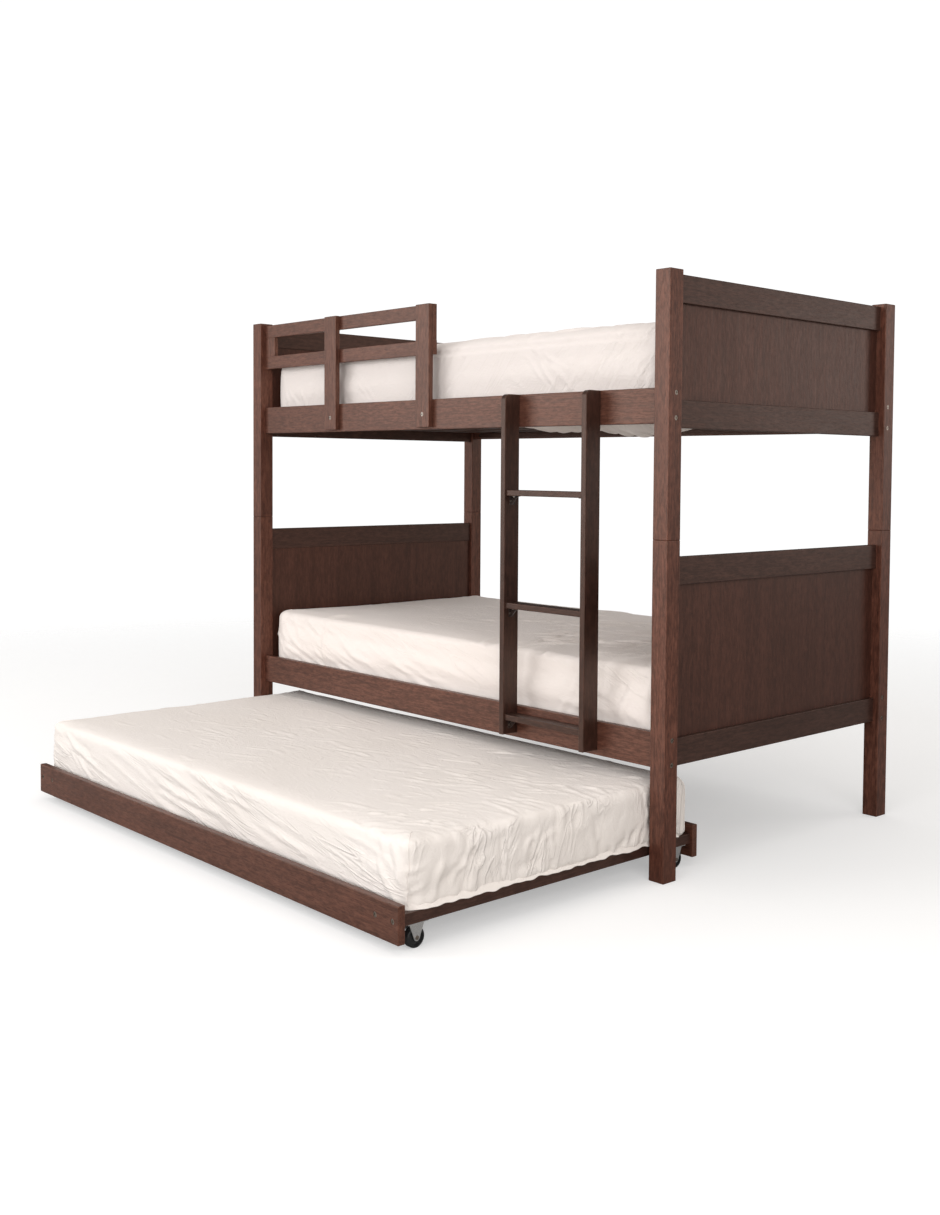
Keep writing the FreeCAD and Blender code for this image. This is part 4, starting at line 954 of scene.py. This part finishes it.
def gathered_hem(name, mattress, body, first, last, drop, seed):
    """The frilled edge of a fitted sheet, drawn in by its elastic, round part of a mattress's plan."""
    low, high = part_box(mattress)
    hem = flat_cloth(name, int((last - first) * HEM_COLUMNS), HEM_ROWS)
    rng = random.Random(seed)
    beats = [(rng.uniform(60, 420), rng.uniform(0, FULL_TURN)) for _ in range(6)]
    for point in hem.data.vertices:
        run, share = point.co.x + 0.5, 0.5 - point.co.y
        turn = first + (last - first) * run
        at, outward = plan_point(low, high, HEM_CORNER, turn)
        wave = sum(math.sin(beat * turn * 2 + phase) for beat, phase in beats) / len(beats)
        ends = min(1.0, 14 * run, 14 * (1 - run))
        at = at + outward * (share * (0.0015 + FRILL_OUT * wave) * ends - 0.0130 * (1 - share) - 0.0030)
        point.co = (at.x, at.y, low.z + HEM_RISE - share * (HEM_RISE + (drop + FRILL_DOWN * wave) * ends))
    thicken(hem, HEM_THICK)
    round_off(hem)
    sew_on(hem, body)


SEAM_RADIUS = 0.0011
SEAM_LIE = 0.0004        # a seam's centre above the cloth it joins
SEAM_STEPS = 25
SEAM_START = 0.02        # it is sought from this far above the top, and this far in over it
SEAM_OVER = 0.05
SEAM_END = 0.01          # and it ends this far above the foot
ROUND_INSET = 0.29       # how far a round corner lies inside its square one, in radii


def corner_seams(name, piece, body):
    """The corner seams of a fitted sheet: a fine ridge of doubled cloth down each upright corner."""
    points = read_points(piece)
    low, high = points.min(0), points.max(0)
    runs = []
    for x, y, side_x, side_y in ((low[0], low[1], 1, 1), (high[0], low[1], -1, 1),
                                 (low[0], high[1], 1, -1), (high[0], high[1], -1, -1)):
        route = []
        for k in range(SEAM_STEPS + 1):
            share = k / SEAM_STEPS
            fall = high[2] + SEAM_START - share * (high[2] - low[2] + SEAM_START - SEAM_END)
            into = CORNER_ROUND * ROUND_INSET + SEAM_OVER * max(0.0, 1 - 4 * share)
            near = Vector((x + side_x * into, y + side_y * into, fall))
            found, spot, normal, _ = piece.closest_point_on_mesh(near)
            if found:
                route.append(spot + normal * SEAM_LIE)
        runs.append(route)
    curve = bpy.data.curves.new(name, "CURVE")
    curve.dimensions = "3D"
    curve.bevel_depth = SEAM_RADIUS
    curve.bevel_resolution = 2
    for route in runs:
        spline = curve.splines.new("POLY")
        spline.points.add(len(route) - 1)
        for point, place in zip(spline.points, route):
            point.co = (*place, 1)
    seam = bpy.data.objects.new(name, curve)
    scene.collection.objects.link(seam)
    only(seam)
    bpy.ops.object.convert(target="MESH")
    sew_on(bpy.context.object, body)


SLACK_LONG, SLACK_DEEP = 0.66, 0.66     # from the foot and the front of the upper mattress
SLACK_INSET = (0.012, 0.030)            # its own start, from the same two sides
SLACK_LIE = 0.0025                      # below the slats
# how far along the slack is, and how far it hangs below the side rail there
SLACK_HANG = [(0.0, 0.003), (0.22, 0.006), (0.42, 0.008), (0.54, 0.015), (0.72, 0.027), (0.82, 0.026),
              (0.90, 0.010), (1.0, 0.002)]


def slack_under_upper_bed():
    """Loose sheet that has worked through the slats and hangs under the foot of the upper bed."""
    rail_low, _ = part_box("upper_front_side_rail")
    slat_low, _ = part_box("upper_slats")
    mattress_low, mattress_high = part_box("upper_mattress")
    start_x, end_x = mattress_high.x - SLACK_LONG, mattress_high.x - SLACK_INSET[0]
    start_y, end_y = mattress_low.y + SLACK_INSET[1], mattress_low.y + SLACK_DEEP
    slack = flat_cloth("upper_sheet_slack", 150, 120)
    top = slat_low.z - SLACK_LIE
    places, depths = zip(*SLACK_HANG)
    for point in slack.data.vertices:
        along, back = point.co.x + 0.5, point.co.y + 0.5
        depth = float(np.interp(along, places, depths)) + (top - rail_low.z)
        ripple = (0.0030 * math.sin(62 * along + 5 * back) + 0.0020 * math.sin(131 * along - 9 * back + 1.2)
                  + 0.0016 * math.sin(23 * back + 17 * along))
        belly = math.sin(math.pi * back / 0.36) ** 0.7 if back < 0.18 else ((1 - back) / 0.82) ** 2.4
        edge = min(1.0, 18 * along, 10 * (1 - along) + 0.55)
        z = top - max(0.0, (depth * belly + ripple * (0.3 + belly)) * edge)
        point.co = (start_x + (end_x - start_x) * along, start_y + (end_y - start_y) * back, min(z, top))
    thicken(slack, SLACK_THICK)
    sew_on(slack, "bunk_frame")


HEM_COTTON = sheet_cotton("hem", CREAM, CREAM_SHADE)
gathered_hem("trundle_sheet_hem_foot", "trundle_mattress", "trundle", 0.320, 0.520, 0.0005, 3)
gathered_hem("trundle_sheet_hem_head", "trundle_mattress", "trundle", 0.820, 1.020, 0.0005, 4)
corner_seams("trundle_sheet_seams", trundle_mattress, "trundle")
corner_seams("lower_sheet_seams", lower_mattress, "bunk_frame")
corner_seams("upper_sheet_seams", upper_mattress, "bunk_frame")
slack_under_upper_bed()
